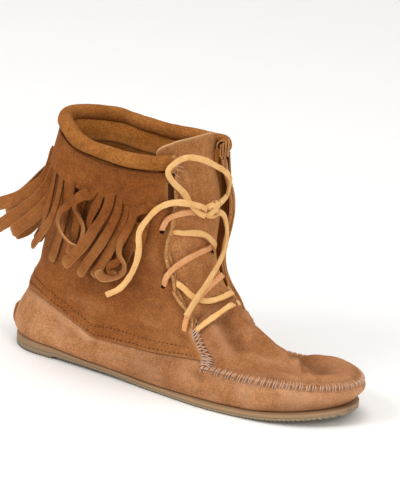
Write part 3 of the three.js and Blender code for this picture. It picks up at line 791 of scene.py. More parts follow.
# %% The knot
knot_size = 0.86
knot_turns = [
    [(-1, -6, -4), (2.5, -4, -1), (3.2, 0, 2.4), (1.5, 4, 4.6), (-2, 4.5, 3), (-3, 0, 0),
     (-1.5, -4.5, -3), (1.8, -3, -4.6), (3, 1, -4.2), (2, 5, -1.6)],
    [(0, -6.2, 2.6), (2.2, -3.2, 4.4), (3.4, 0.6, 0.2), (2.4, 4, -3.6), (-1, 6, -4)],
]
knot_nets = []
for k, turns in enumerate(knot_turns):
    path = smooth_path([knot_at + np.array(p) * knot_size for p in turns], 0.7)
    knot_nets.append(lace_net(path, unit(path - knot_at), 40 + k))
tubes("lace_knot_turns", knot_nets, lace_leather, ["lace_knot"], lace_marks(knot_nets))

# %% [markdown]
# The lace runs from hole to hole across the tongue. Each run is listed place by place, with how far it
# stands off the skin at each place. It dips through its hole at the ends. Some runs show the smooth
# yellow grain side, and some the pinker, rougher flesh side.

# %% The crossings
LACE_RUNS = {
    "under_the_knot": ("flesh", [(162, 232, -1.5), (163, 227, 1.6), (168, 219, 3.0),
                                 (178, 214.5, 3.6), (190, 212.5, 3.4), (206, 212, 2.6), (216, 212, 0.5)]),
    "upper": ("grain", [(170, 232, -2.6), (175, 232, 0.6), (183, 233, 2.0), (195, 233, 2.4),
                        (205, 235, 2.6), (211, 240, 2.6), (215, 246, 1.5), (212, 251, -2.2)]),
    "middle": ("flesh", [(212, 246, -1.0), (208, 249, 2.0), (200, 252.5, 2.8), (190, 257.5, 3.2),
                         (180, 263.7, 3.6), (171, 271, 3.4), (166, 278, 2.6), (164.5, 284, 0.8),
                         (163, 287, -1.6)]),
    "lower": ("grain", [(174, 281, -2.6), (178, 284, 0.6), (184, 288.5, 1.2), (192, 296, 1.4),
                        (203, 300.5, 1.8), (212, 300.5, 2.2), (222, 297.5, 2.2), (229, 294, 2.0),
                        (232, 292.5, 0.6), (232.5, 291.5, -2.0)]),
    "wide_end": ("flesh", [(222.5, 275, 4.2), (217, 280, 4.2), (207, 289, 4.0), (197, 300, 4.4),
                           (190, 311, 4.0), (186, 321, 3.0), (184.5, 329, 1.6), (185, 333, -1.6)]),
    "lowest": ("grain", [(237, 301, 1.0), (230, 306, 2.4), (217, 315, 2.6), (207, 322, 2.4),
                         (198, 329, 1.6), (194, 332, -1.4)]),
}
run_nets = {"grain": [], "flesh": []}
for k, (name, (side_up, places)) in enumerate(LACE_RUNS.items()):
    places = np.array(places, float)
    corners, normals = seen(places[:, :2], places[:, 2])
    path = smooth_path(corners, 0.9)
    face = unit(spread(normals, len(path)))
    run_nets[side_up].append(lace_net(path, face, 60 + 3 * k))
for side_up, leather in (("grain", lace_leather), ("flesh", flesh_leather)):
    tubes("lace_crossings_" + side_up + "_side", run_nets[side_up], leather, ["lace_crossings"],
          lace_marks(run_nets[side_up]))
print("lace crossings:", len(LACE_RUNS))

# %% [markdown]
# ## The upper's panels
# Three panels make the upper. A wrap comes up from the sole all round. The quarter is laid over it
# and sewn down along its lower edge. The apron is set into the top of the toe, and the wrap's edge
# is gathered to it by the moccasin seam. Each is a sheet on the skin, fine enough to carry its
# creases, and the creases are listed one by one as soft troughs and ridges.

# %% Creases
def line_distance(points, line):
    """How far each point is from a line of corners, in millimetres, and its share of the way along."""
    best = np.full(points.shape[:-1], 1e9)
    share = np.zeros(points.shape[:-1])
    line = np.asarray(line, float)
    for k, (a, b) in enumerate(zip(line[:-1], line[1:])):
        along = b - a
        t = np.clip(((points - a) @ along) / (along @ along), 0, 1)
        far = np.linalg.norm(points - a - t[..., None] * along, axis=-1)
        share = np.where(far < best, (k + t) / (len(line) - 1), share)
        best = np.minimum(best, far)
    return best, share


def creased(points, creases):
    """Height and darkness that creases add. A crease is where it is seen, its half width and depth.
    A positive depth is a trough with a low ridge beside it, and a negative one is a soft ridge."""
    height, dark = np.zeros(points.shape[:-1]), np.zeros(points.shape[:-1])
    for pixels, half, depth in creases:
        line = smooth_path(seen(pixels)[0], 2.0)
        far, share = line_distance(points, line)
        fading = ease(0, 0.3, share) * ease(1, 0.7, share)
        trough = fading * np.exp(-(far / half) ** 2)
        beside = fading * np.exp(-((far - 2 * half) / half) ** 2)
        height += -depth * (trough - 0.35 * beside)
        dark += depth * trough
    return height, dark


def edge_round(far, half):
    """1 inside a sheet and falling to 0 round its cut edge, far millimetres from the edge."""
    return np.sqrt(np.clip(1 - np.clip(1 - far / half, 0, 1) ** 2, 0.02, 1))


# %% [markdown]
# ## The line of the moccasin seam
# The wrap is longer than the apron that it is sewn to, so it gathers into small puckers, one between
# each two stitches. The seam is measured first, because its stitches lie evenly along it, and the
# puckers have to fall between them.

# %% The moccasin seam's line
seam_level = 0.24
seam_columns = np.linspace(SIDE, 2 * HALF - SIDE, 400)
seam_line = on_skin(seam_level, seam_columns)
seam_run = run_along(seam_line)
stitch_pitch = 4.0
print("moccasin seam round the toe:", round(seam_run[-1]), "mm")


def around(column):
    """How far a column is from the back, the same on both sides."""
    column = np.mod(column, 2 * HALF)
    return np.minimum(column, 2 * HALF - column)


def seam_pucker(column, v, reach):
    """Gathers that run away from the seam, one between each two stitches."""
    run = np.interp(np.mod(column, 2 * HALF), seam_columns, seam_run)
    gather = np.cos(2 * math.pi * run / stitch_pitch)
    return gather * np.exp(-np.abs(v - seam_level) / reach) * ease(SIDE - 0.4, SIDE + 0.6, around(column))


# %% [markdown]
# ## Where the quarter ends
# The quarter's lower edge divides the dark shaft from the pale wrap, so the eye sees at once when it is
# off. It falls straight from the heel, turns a corner below the ankle and runs on nearly level. It is
# read where it is seen, and the wrap, the lining and two rows of stitches all follow it. The inner
# side, which isn't seen, is taken to be the same.

# %% The quarter's lower edge
LOWER_EDGE_SEEN = [(36, 292), (45, 299.5), (54, 306.5), (69.5, 318.7), (81, 327.8), (91.5, 336.6),
                   (101, 339.4), (111, 341.5), (132, 346.7), (150, 351.5), (170, 355), (190, 358)]
lower_levels, lower_columns = seen_spots(LOWER_EDGE_SEEN, quarter_step)
order = np.argsort(lower_columns)
heel_columns, heel_levels = [0, 3.2], [0.256, 0.262]
lower_columns = np.concatenate([heel_columns, lower_columns[order]])
lower_levels = np.concatenate([heel_levels, np.maximum(lower_levels[order], heel_levels[1])])
print("lower edge of the quarter, levels:", lower_levels.round(3), "columns:", lower_columns.round(2))


def lower_edge(column):
    """The level of the quarter's lower edge at a column of either side."""
    return np.interp(around(column), lower_columns, lower_levels)


# %% [markdown]
# ## The wrap
# The wrap is one piece of suede that comes up from under the foot all round, as on a slipper. It could
# be sculpted by hand. A net that follows the skin keeps its thickness even, and its relief is added up
# from parts that each have a cause: the ridge of the seam, the gathers, the creases, the hide itself.

# %% The wrap
side_columns = np.linspace(-SIDE, SIDE, 270)[1:-1]
front_columns = np.linspace(SIDE, 2 * HALF - SIDE, 420)
round_columns = np.concatenate([side_columns, front_columns])
seam_edge = 0.243
# How far the wrap goes up under the quarter, in levels.
under_quarter = 0.018
beside_throat = 1 - ease(SIDE - 0.3, SIDE + 0.05, around(round_columns))
wrap_top = seam_edge + (lower_edge(round_columns) - (seam_edge - under_quarter)) * beside_throat
share = np.linspace(0, 1, 60)[:, None]
level = share * wrap_top[None]
column = np.broadcast_to(round_columns, level.shape)
ground = on_skin(level, column)
ridge_height = 1.1
seam_ridge = ridge_height * np.exp(-((level - 0.236) / 0.012) ** 2)
seam_ridge = seam_ridge * ease(SIDE - 0.6, SIDE + 0.4, around(column))
WRAP_CREASES = [
    ([(186, 366), (196, 374), (207, 383)], 2.2, 0.5),
    ([(180, 372), (192, 381), (203, 390)], 2.6, -0.5),
    ([(222, 378), (232, 386), (238, 395)], 2.6, 0.35),
    ([(40, 305), (60, 325), (84, 341)], 2.4, 0.3),
    ([(30, 308), (46, 330), (60, 347)], 2.6, -0.3),
    ([(95, 350), (112, 356), (130, 360)], 2.4, -0.35),
    ([(262, 384), (272, 392), (283, 401)], 2.4, 0.25),
]
height, dark = creased(ground, WRAP_CREASES)
gather_height = 0.6
gathers = gather_height * seam_pucker(column, level, 0.035) * ease(0.245, 0.215, level)
relief = seam_ridge + gathers + height + uneven(ground, 0.4, 22, 0.14, 3)
relief *= ease(0, 0.03, level)
outer = on_skin(level, column, relief)
inner = on_skin(level, column, -wall)
inner[0, :, 2] = np.minimum(inner[0, :, 2], outer[0, :, 2])
# Painted shade darkens the wrap in its creases, between its gathers and along the sole, and a painted
# shadow of the quarter runs just under its edge. It is also browner in its middle and uneven in tone.
crease_shade = np.clip(dark, 0, 1) * 0.35
over_edge = level - lower_edge(column)
browner_middle = np.exp(-((ground[..., 0] - 98) / 42) ** 2) * (ground[..., 1] < 0)
painted_shade_and_tone = 0.6 * (1 - ease(0, 0.016, level)) + crease_shade + 0.2 * np.clip(-gathers / 0.4, 0, 1)
painted_shade_and_tone += 0.2 * browner_middle + 0.10 * np.clip(waves(ground, 16, 25), 0, 1)
painted_shade_and_tone += 0.5 * np.exp(-((over_edge + 0.001) / 0.006) ** 2) * ease(SIDE, SIDE - 0.5, around(column))
worn = 0.35 * np.clip(-dark, 0, 1) + 0.2 * np.clip(waves(ground, 12, 5), 0, 1)
worn += 0.14 * np.exp(-((over_edge + 0.02) / 0.02) ** 2) * ease(14.5, 10, around(column))
worn += 0.16 * ease(165, 205, ground[..., 0])
leather_sheet("wrap_panel", outer, inner, wrap_suede, ["upper"],
              {"painted_shade_and_tone": painted_shade_and_tone, "worn": np.clip(worn, 0, 1)}, ring=True)

# %% [markdown]
# ## The apron
# The apron covers the toes and the instep. Worn leather keeps the marks of walking: a sharp fold along
# the middle, a dish over the toes, and shallow troughs beside them. Each is listed as a line with a
# width and a depth, because a random pattern never falls where a foot bends.

# %% The apron
apron_rows = 106
rows = np.linspace(0, 1, apron_rows)[:, None]
level = seam_edge + (THROAT + 0.006 - seam_edge) * rows
level = np.broadcast_to(level, (apron_rows, len(front_columns)))
column = np.broadcast_to(front_columns, level.shape)
ground = on_skin(level, column)
APRON_CREASES = [
    ([(222, 300), (238, 305), (248, 317), (260, 332), (274, 345), (286, 354), (297, 364), (308, 374),
      (316, 384)], 2.2, -1.7),
    ([(286, 346), (296, 354), (307, 364), (320, 371), (336, 373), (352, 372)], 4.6, 2.0),
    ([(214, 306), (221, 315), (230, 330), (239, 344), (248, 358)], 5.0, 1.5),
    ([(205, 310), (212, 324), (221, 340), (228, 352), (238, 366)], 4.2, -1.0),
    ([(226, 352), (240, 352), (258, 358), (284, 366), (300, 372)], 3.6, -0.9),
    ([(228, 364), (246, 366), (268, 374), (290, 380)], 3.0, 0.7),
    ([(203, 336), (210, 348), (219, 362)], 2.6, -0.5),
]
height, dark = creased(ground, APRON_CREASES)
CREST_SEEN = [(252, 323), (262, 335), (274, 346), (286, 355), (297, 365), (308, 375), (317, 384)]
crest = smooth_path(seen(CREST_SEEN)[0], 2.0)
crest_far = line_distance(ground, crest)[0]
order = np.argsort(crest[:, 0])
beyond = ground[..., 1] - np.interp(ground[..., 0], crest[order, 0], crest[order, 1])
in_dish = ease(150, 166, ground[..., 0]) * ease(212, 198, ground[..., 0])
relief = 0.9 * np.exp(-((level - 0.246) / 0.009) ** 2) + height
crest_height = 1.3
relief += crest_height * np.exp(-crest_far / 2.4) * ease(150, 160, ground[..., 0])
relief += 0.3 * seam_pucker(column, level, 0.02) + uneven(ground, 0.35, 24, 0.12, 6)
outer = on_skin(level, column, relief)
inner = on_skin(level, column, -wall)
# Painted shade darkens the apron in its creases, in a line just above the seam and in the dish beyond the
# crest.
painted_shade_and_tone = np.clip(dark, 0, 1.5) * 0.2 + 0.2 * np.exp(-((level - 0.262) / 0.01) ** 2)
painted_shade_and_tone += 0.3 * ease(0.3, 1.8, beyond) * np.exp(-np.clip(beyond, 0, 99) / 12) * in_dish
worn = 0.25 * np.clip(-dark, 0, 1) + 0.15 * np.clip(waves(ground, 9, 8), 0, 1)
worn += 0.2 * ease(168, 200, ground[..., 0])
leather_sheet("apron_panel", outer, inner, apron_suede, ["upper"], {"painted_shade_and_tone": painted_shade_and_tone, "worn": worn})

# %% [markdown]
# ## The quarter
# The quarter is two layers, the outside and a lining of the same suede. Their raw edges lie side by
# side at the throat, paler than the brushed faces. The near front edge wavers as the laces have
# pulled it, and the far one stands open.

# %% The quarter's front edges
EDGE_SEEN = [(176, 184), (176.5, 200), (174.5, 214), (172.5, 229), (168, 242), (166, 256),
             (169.5, 266), (173.5, 277), (174.5, 292), (183, 306)]
edge_levels, edge_columns = seen_spots(EDGE_SEEN, 1.2)
order = np.argsort(edge_levels)
edge_levels = np.concatenate([[0.30, 0.43], edge_levels[order], [1.0]])
edge_shifts = np.concatenate([[0, 0], np.clip(edge_columns[order] - SIDE, -0.8, 0.5), [0]])
print("the near edge wavers by", edge_shifts.min().round(2), "to", edge_shifts.max().round(2), "columns")


def quarter_place(level, column):
    """The quarter's own column: its near front edge wavers, and its far one stands open."""
    waver = np.interp(level, edge_levels, edge_shifts) * ease(11, SIDE, column)
    return column + waver


far_edge_opening = 5.5
# About how many millimetres of leather one column and one whole level are.
run_per_column = 7.0
rise_per_level = 150.0


def stands_open(level, column):
    """How far the quarter stands off the skin, in millimetres, along its far front edge."""
    return far_edge_opening * ease(-12.4, -16, column) * ease(0.43, 0.58, level) * ease(0.99, 0.82, level)


# %% The quarter and its lining
quarter_columns = np.concatenate([
    np.linspace(-SIDE, -SIDE + 1, 30)[:-1],
    np.linspace(-SIDE + 1, SIDE - 1, 272),
    np.linspace(SIDE - 1, SIDE, 30)[1:],
])
bottom = lower_edge(quarter_columns)[None]
level = bottom + (1 - bottom) * np.linspace(0, 1, 130)[:, None] ** 1.05
column = np.broadcast_to(quarter_columns, level.shape)
ground = on_skin(level, column)
QUARTER_CREASES = [
    ([(135, 317), (150, 323), (166, 330)], 1.8, -0.45),
    ([(132, 322), (148, 328), (164, 335)], 2.0, 0.4),
    ([(168, 333), (175, 339), (184, 345)], 1.8, -0.5),
    ([(176, 331), (184, 337), (191, 345)], 1.8, 0.45),
    ([(60, 270), (95, 290), (128, 299)], 4.5, 0.45),
    ([(58, 283), (90, 303), (124, 312)], 4.5, -0.4),
    ([(150, 245), (156, 268), (158, 292)], 4.0, -0.4),
    ([(140, 300), (155, 308), (172, 318)], 3.0, 0.35),
]
height, dark = creased(ground, QUARTER_CREASES)
to_front = (SIDE - np.abs(column)) * run_per_column
to_bottom = (level - bottom) * rise_per_level
to_edge = np.minimum(to_front, to_bottom)
relief = height + uneven(ground, 0.4, 24, 0.14, 9)
lip = edge_round(to_edge, 0.7)
own = quarter_place(level, column)
opening = stands_open(level, column)
outer = on_skin(level, own, quarter_step * (0.25 + 0.75 * lip) + relief * ease(0, 3, to_edge) + opening)
inner = on_skin(level, own, -0.5 + 0.3 * (1 - lip) + opening)
# Painted shade darkens the quarter in its creases and under the fringe. It is also darker on the far side
# near its front edge towards the collar, and in a band a little in from its front edge.
under_fringe = ease(0.97, 0.80, level) * ease(0.40, 0.60, level) * ease(15.2, 13.5, np.abs(column))
painted_shade_and_tone = np.clip(dark, 0, 1) * 0.35 + 0.16 * under_fringe
painted_shade_and_tone += 0.6 * ease(0.84, 0.88, level) * ease(7.0, 5.0, to_front) * (column > 0)
painted_shade_and_tone += 0.35 * ease(6, 1.5, to_front) * ease(0.6, 1.5, to_front) * ease(0.42, 0.5, level)
worn = np.exp(-(to_front / 1.5) ** 2) + 0.3 * np.exp(-(to_bottom / 0.9) ** 2) + 0.3 * np.clip(-dark, 0, 1)
worn += 0.12 * ease(60, 105, ground[..., 0]) * ease(0.64, 0.46, level)
leather_sheet("quarter_panel", outer, inner, shaft_suede_with_painted_shade, ["upper"],
              {"painted_shade_and_tone": painted_shade_and_tone, "worn": np.clip(worn, 0, 1)})

lining_columns = quarter_columns * (SIDE + 0.13) / SIDE
bottom = lower_edge(quarter_columns)[None] - 0.017
level = bottom + (1 - bottom) * np.linspace(0, 1, 50)[:, None]
column = np.broadcast_to(lining_columns, level.shape)
beyond = np.clip(np.abs(column) - SIDE, 0, 1)
open_part = ease(0.41, 0.44, level)
column = np.where(np.abs(column) > SIDE, np.sign(column) * (SIDE + beyond * open_part), column)
to_front = (SIDE + 0.13 - np.abs(lining_columns)) * run_per_column + 0 * level
lip = edge_round(to_front, 0.6)
own = quarter_place(level, column)
opening = stands_open(level, column)
outer = on_skin(level, own, -0.75 - 0.35 * (1 - lip) + opening)
inner = on_skin(level, own, -wall + 0.3 * (1 - lip) + opening)
# Painted shade darkens the lining away from its cut edge, inside the boot.
leather_sheet("quarter_lining", outer, inner, lining_suede, ["upper"],
              {"painted_shade_and_tone": 0.5 * ease(1.2, 2.4, to_front), "worn": np.exp(-(to_front / 1.3) ** 2)})

# %% [markdown]
# ## Raw edges at the throat
# Where the quarter and its lining are cut together, two pale edges lie side by side, and both wander a
# little. A sheet's own edge has too few points to waver, so each is laid on as a thin ribbon.

# %% Raw edges at the throat
edge_levels_fine = np.linspace(0.435, 0.985, 150)
raw_nets = []
for end in (SIDE, -SIDE):
    for k, (shift, off, width) in enumerate(((-0.06, 1.15, 2.1), (0.16, -0.75, 1.8))):
        columns = np.full(len(edge_levels_fine), end + np.sign(end) * shift, float)
        lift = off + stands_open(edge_levels_fine, np.clip(columns, -SIDE, SIDE))
        own = quarter_place(edge_levels_fine, columns)
        none = edge_levels_fine * 0
        spots = np.stack([edge_levels_fine * rise_per_level, none + end, none + 9 * k], -1)
        own = own + 0.045 * waves(spots, 9, 70 + k)
        path = on_skin(edge_levels_fine, own, lift)
        normals = skin_normal(*place(edge_levels_fine, own))
        ragged = width * (1 + 0.12 * waves(spots, 5, 72 + k))
        raw_nets.append(ribbon_net(path, normals, ragged, 1.25, sides=10))
tubes("raw_edges_at_the_throat", raw_nets, raw_suede)

# %% [markdown]
# ## Stitches
# Two kinds of thread show. Round the toe, pairs of pale waxed stitches whip the gathered wrap to the
# apron, and close together they make a braid up to the throat. Along the quarter's lower edge run
# two rows of small dark stitches, sunk in the nap.

# %% Whip stitches and the braid
def thread_net(path, radius):
    """Rings of a round thread along a path, tapered into the leather at both ends."""
    along = unit(np.gradient(path, axis=0))
    aside = unit(np.cross(along, np.array([0.3, 0.2, 0.93])))
    rise = np.cross(aside, along)
    a = np.arange(7) / 7 * 2 * math.pi
    taper = np.sqrt(np.clip(np.sin(np.linspace(0.12, math.pi - 0.12, len(path))), 0, 1))
    ring = aside[:, None] * np.cos(a)[None, :, None] + rise[:, None] * np.sin(a)[None, :, None]
    return path[:, None] + (radius * taper)[:, None, None] * ring


whip_radius = 0.48
braid_radius = 0.42
twin_apart = 0.68
whip_nets = []
whip_count = int(seam_run[-1] / stitch_pitch)
chance = np.random.default_rng(21)
for k in range(whip_count + 1):
    for twin in (-twin_apart, twin_apart):
        run = np.clip(k * stitch_pitch + twin, 0, seam_run[-1])
        jitter = chance.uniform(-0.25, 0.25, 3)
        long_ones = float(ease(130, 175, np.interp(run, seam_run, seam_line[:, 0])))
        spots = np.array([0.0, 0.25, 0.45, 0.62, 0.76, 0.88, 1.0]) * (0.052 + 0.020 * long_ones)
        spots = 0.264 - spots[::-1] + jitter[0] * 0.006
        lean = np.linspace(-0.55, 0.55, 7) + jitter[1]
        columns = np.interp(run + lean, seam_run, seam_columns)
        lifts = np.array([-0.3, 0.55, 1.3, 1.6, 1.4, 0.7, -0.3])
        whip_nets.append(thread_net(on_skin(spots, columns, lifts), whip_radius))
tubes("whip_stitches", whip_nets, thread)
print("whip stitches:", whip_count + 1, "pairs")

braid_start, braid_step, braid_count = 0.255, 0.0132, 13
braid_nets = []
for edge_column in (SIDE, 2 * HALF - SIDE):
    inward = 1 if edge_column == SIDE else -1
    for k in range(braid_count):
        v = braid_start + k * braid_step
        for cross in (-1, 1):
            share = np.linspace(-1, 1, 7)
            columns = edge_column + inward * (0.05 + 0.26 * share)
            levels = v + cross * 0.008 * share + chance.uniform(-0.002, 0.002)
            lifts = 1.75 - 1.6 * share**2 + 0.3 * cross
            braid_nets.append(thread_net(on_skin(levels, columns, lifts), braid_radius))
tubes("braid_up_to_the_throat", braid_nets, thread)

# %% [markdown]
# The rows along the quarter are machine sewn: dashes of 1.9 mm at an even pitch of 3.1 mm, one row
# close to the edge and one above it. They are short threads, and not a dashed picture on the leather,
# so that they catch the light and sink into it at both ends.

# %% Rows of stitches along the quarter
row_pitch, dash, row_radius = 3.1, 1.9, 0.3
row_nets = []
row_columns = np.linspace(-15.6, 15.6, 900)
for over_edge in (0.017, 0.052):
    row_levels = lower_edge(row_columns) + over_edge
    line = on_skin(row_levels, row_columns, quarter_step - 0.02)
    run = run_along(line)
    for start in np.arange(1.0, run[-1] - 2, row_pitch):
        at = start + np.linspace(0, dash, 5)
        columns = np.interp(at, run, row_columns)
        lifts = quarter_step + np.array([-0.3, 0.12, 0.22, 0.12, -0.3])
        path = on_skin(np.interp(at, run, row_levels), columns, lifts)
        row_nets.append(thread_net(path, row_radius))
tubes("quarter_edge_stitches", row_nets, dark_thread)
print("quarter stitches:", len(row_nets))

# %% [markdown]
# ## Punched holes
# The lace goes through plain punched holes, with no eyelets. Cutting the sheets would leave ragged
# faces in their nets, so each hole is a small dark dish set into the leather, 3 mm across.

# %% Punched holes
hole_nets = []
HOLES_SEEN = [
    ((162, 232), 0.9), ((163, 286.5), 0.9), ((185, 332.5), 0.9), ((193.5, 333.5), 0.6), ((213, 251), 0.0)]
# Rings of the dish, from inside the leather up and in to its middle: radius and height in millimetres.
HOLE_RINGS = ((1.5, -0.6), (1.5, -0.1), (1.3, 0.12), (0.4, 0.02))
for pixel, lift in HOLES_SEEN:
    centre, normal = (a[0] for a in seen([pixel], lift))
    aside = unit(np.cross(normal, (0, 0, 1.0)))
    rise = np.cross(normal, aside)
    a = np.arange(20) / 20 * 2 * math.pi
    circle = aside * np.cos(a)[:, None] + rise * np.sin(a)[:, None]
    hole_nets.append(np.stack([centre + circle * r + normal * h for r, h in HOLE_RINGS]))
tubes("punched_holes", hole_nets, hole_dark)

# %% [markdown]
# ## Tongue and collar
# The tongue is a soft flap that goes on up from the apron, behind the quarter's front edges, and
# stands a little over the collar. The collar is a strip of suede rolled over foam.

# %% The tongue
tongue_root = 0.385
first = SIDE - 2
columns = np.linspace(first, 2 * HALF - first, 150)
rows = np.linspace(0, 1, 130)[:, None]
centred = np.abs(columns - HALF) / (HALF - first)
near_low = np.where(columns < HALF, 0.0, 0.035) * centred
top = 1 + 0.29 * (1 - 0.42 * centred**6) - near_low
level = tongue_root + rows * (top[None] - tongue_root)
column = np.broadcast_to(columns, level.shape)
ground = on_skin(level, column)
TONGUE_CREASES = [
    ([(192, 168), (192, 182), (193, 196)], 1.6, -0.4),
    ([(186, 160), (187, 178), (190, 196)], 2.4, 0.35),
    ([(205, 160), (203, 185), (201, 205)], 3.0, 0.3),
    ([(185, 240), (190, 250), (192, 262)], 3.0, 0.35),
    ([(200, 256), (201, 275), (203, 292)], 2.4, -0.35),
    ([(193, 258), (194, 276), (198, 296)], 3.0, 0.4),
]
height, dark = creased(ground, TONGUE_CREASES)
inside = wall + gap + 4.4 * ease(0.85, 1.0, level)
flush = 1.9 * ease(0.475, 0.43, level) * ease(0.40, 0.43, level)
flush = flush * ease(SIDE + 0.3, SIDE + 1.5, around(column))
to_top = (top[None] - level) * 60
to_side = (HALF - first) * (1 - centred[None]) * 6 + 0 * level
lip = edge_round(np.minimum(to_top, to_side), 0.8)
relief = (height + uneven(ground, 0.35, 24, 0.1, 12)) * ease(0, 4, to_side)
relief = np.minimum(relief, 0.28 + 2 * ease(SIDE + 0.1, SIDE + 1.0, around(column)))
outer = on_skin(level, column, -inside + flush + relief - 0.8 * (1 - lip))
inner = on_skin(level, column, -inside + flush - 1.8 + 0.8 * (1 - lip))
# Painted shade darkens the tongue in its creases and at its foot under the apron's edge, and it is darker
# towards its top.
painted_shade_and_tone = np.clip(dark, 0, 1) * 0.3 + 0.2 * ease(0.475, 0.43, level) + 0.13 * ease(0.8, 1.0, level)
worn = 0.9 * np.exp(-to_top / 0.9) + 0.9 * np.exp(-to_side / 0.9) + 0.3 * np.clip(-dark, 0, 1)
leather_sheet("tongue_panel", outer, inner, tongue_suede, ["tongue"],
              {"painted_shade_and_tone": painted_shade_and_tone, "worn": np.clip(worn, 0, 1)})

# %% [markdown]
# ## The collar's roll
# A strip of suede is rolled over foam round the top edge and sewn down, so it is pinched along its
# lower side. A curve with a round bevel would be too even. A net of rings can swell here and there, and
# its two ends can fold in on themselves, as the cut ends of the real roll do.

# %% The collar's roll
roll_radius = 4.9
roll_sides = 40
roll_rings = 360
roll_columns = np.linspace(SIDE - 0.45, -SIDE, roll_rings)
centres = on_skin(1.0, roll_columns, -wall / 2)
out = unit(skin_normal(*place(1.0, roll_columns)) * (1, 1, 0))
centres[:, 2] += roll_radius + gap + 0.2
turns = np.arange(roll_sides) / roll_sides * 2 * math.pi
ring_number = np.arange(roll_rings)
from_end = np.minimum(ring_number, ring_number[::-1]) * path_length(centres) / (roll_rings - 1)
swell = 1 - 0.1 * np.exp(-from_end / 3)
ring = out[:, None] * np.cos(turns)[None, :, None] + np.array([0, 0, 1.0]) * np.sin(turns)[None, :, None]
net = centres[:, None] + roll_radius * swell[:, None, None] * ring
net += ring * (0.28 * waves(net, 12, 15) + 0.14 * waves(net, 4.5, 16))[..., None]
# The rolled strip is tucked in under itself, so the lower side is pinched towards the groove.
pinch = np.exp(-((turns - 1.5 * math.pi) / 0.5) ** 2)
net[..., 2] += 0.7 * pinch[None]


# How the tube's end folds in, ring by ring: its share of the rim's size, and millimetres inwards.
FOLDED_IN = ((0.93, -0.25), (0.80, -0.3), (0.72, 0.2), (0.66, 2.6), (0.3, 3.2))


def hollow_end(net, first, turn_in):
    """Rings that fold a tube's end in on itself: the cut edge, then the dark hollow behind it."""
    rim = net[first]
    centre = rim.mean(0)
    inward = unit(net[first + turn_in] - rim).mean(0)
    rings = []
    for shrink, deep in FOLDED_IN:
        rings.append(centre + (rim - centre) * shrink + inward * deep)
    return np.stack(rings)


near_end, far_end = hollow_end(net, 0, 8), hollow_end(net, -1, -8)
net = np.concatenate([near_end[::-1], net, far_end])
count = len(net)
cut = np.zeros(count)
cut[2:5], cut[-5:-2] = (0.9, 1.0, 0.7), (0.7, 1.0, 0.9)
# Painted shade darkens the hollows of the folded ends and the pinched groove along the roll's lower side.
dim = np.zeros(count)
dim[:3], dim[-3:] = (0.95, 0.95, 0.5), (0.5, 0.95, 0.95)
groove = 0.4 * pinch[None] * np.ones((count, 1))
tubes("collar_roll_tube", [net], roll_suede, ["collar_roll"], {
    "worn": np.repeat(cut, roll_sides),
    "painted_shade_and_tone": np.clip(np.repeat(dim, roll_sides) + groove.ravel(), 0, 1)})

# %% [markdown]
# Inside, a facing hides the roll's stitching, and at each end the strip's layers lie folded on one
# another. They are thin ribbons, one behind the other, because they are seen as a few pale lines.

# %% Facing inside the collar and the folded ends of the roll
level = np.broadcast_to(np.linspace(1.06, 0.925, 16)[:, None], (16, 300))
column = np.broadcast_to(np.linspace(-SIDE + 1.2, SIDE - 1.2, 300), level.shape)
lip = edge_round((level - 0.925) * rise_per_level, 0.7)
leather_sheet("collar_facing", on_skin(level, column, -wall - 0.1 + 0 * level),
              on_skin(level, column, -wall - 0.15 - 0.9 * lip), lining_suede, ["collar_roll"],
              {"painted_shade_and_tone": level * 0, "worn": 0.7 * np.exp(-(level - 0.925) * 120)}, flip=True)

fold_nets = []
for end, sign in ((SIDE - 0.45, -1), (-SIDE, 1)):
    for k in range(4):
        rise = np.linspace(-4.5, 6.6 - 1.1 * k, 9)
        column = np.full(9, end - sign * (0.03 + 0.17 * k)) + 0.05 * np.sin(rise * 0.7 + 2 * k)
        path = on_skin(np.full(9, 1.0), column, 2.6 - 1.5 * k)
        path[:, 2] += rise + 4.0
        faces = np.repeat(skin_normal(*place(1.0, end))[None], 9, 0)
        fold_nets.append(ribbon_net(path, faces, 2.4, 1.1))
tubes("folded_ends_of_the_roll", fold_nets, raw_suede, ["collar_roll"])

# %% [markdown]
# A few threads have worked loose where the roll was cut at its near end. They are very thin, but they
# tell the eye that this is handwork, so five are drawn.

# %% Stray threads at the near end
hair_nets = []
hair_radius = 0.2
hair_root = (171, 168)
HAIR_TIPS = (((184, 168), -2), ((185, 172), 0), ((181, 178), 2), ((179, 166), -3), ((168, 184), 1))
for tip, bend in HAIR_TIPS:
    middle = ((hair_root[0] + tip[0]) / 2, (hair_root[1] + tip[1]) / 2 + bend)
    corners = seen([hair_root, middle, tip], [1.2, 3.2, 3.6])[0]
    hair_nets.append(thread_net(smooth_path(corners, 0.8), hair_radius))
tubes("stray_threads", hair_nets, thread)

# %% [markdown]
# ## Fringe
# The fringe is one flap of suede sewn in under the roll and cut into strips, which hang, sweep back
# and curl. Every strip here is a flat strip of its own with its own length, sweep and curl.

# %% The flap
flap_thickness = 1.5
strip_level = 0.875
flap_columns = SIDE - 0.75


def flap_flare(v):
    """How far the flap stands off the skin at level v, in millimetres."""
    return quarter_step + gap + 0.1 + 12 * (1 - v)


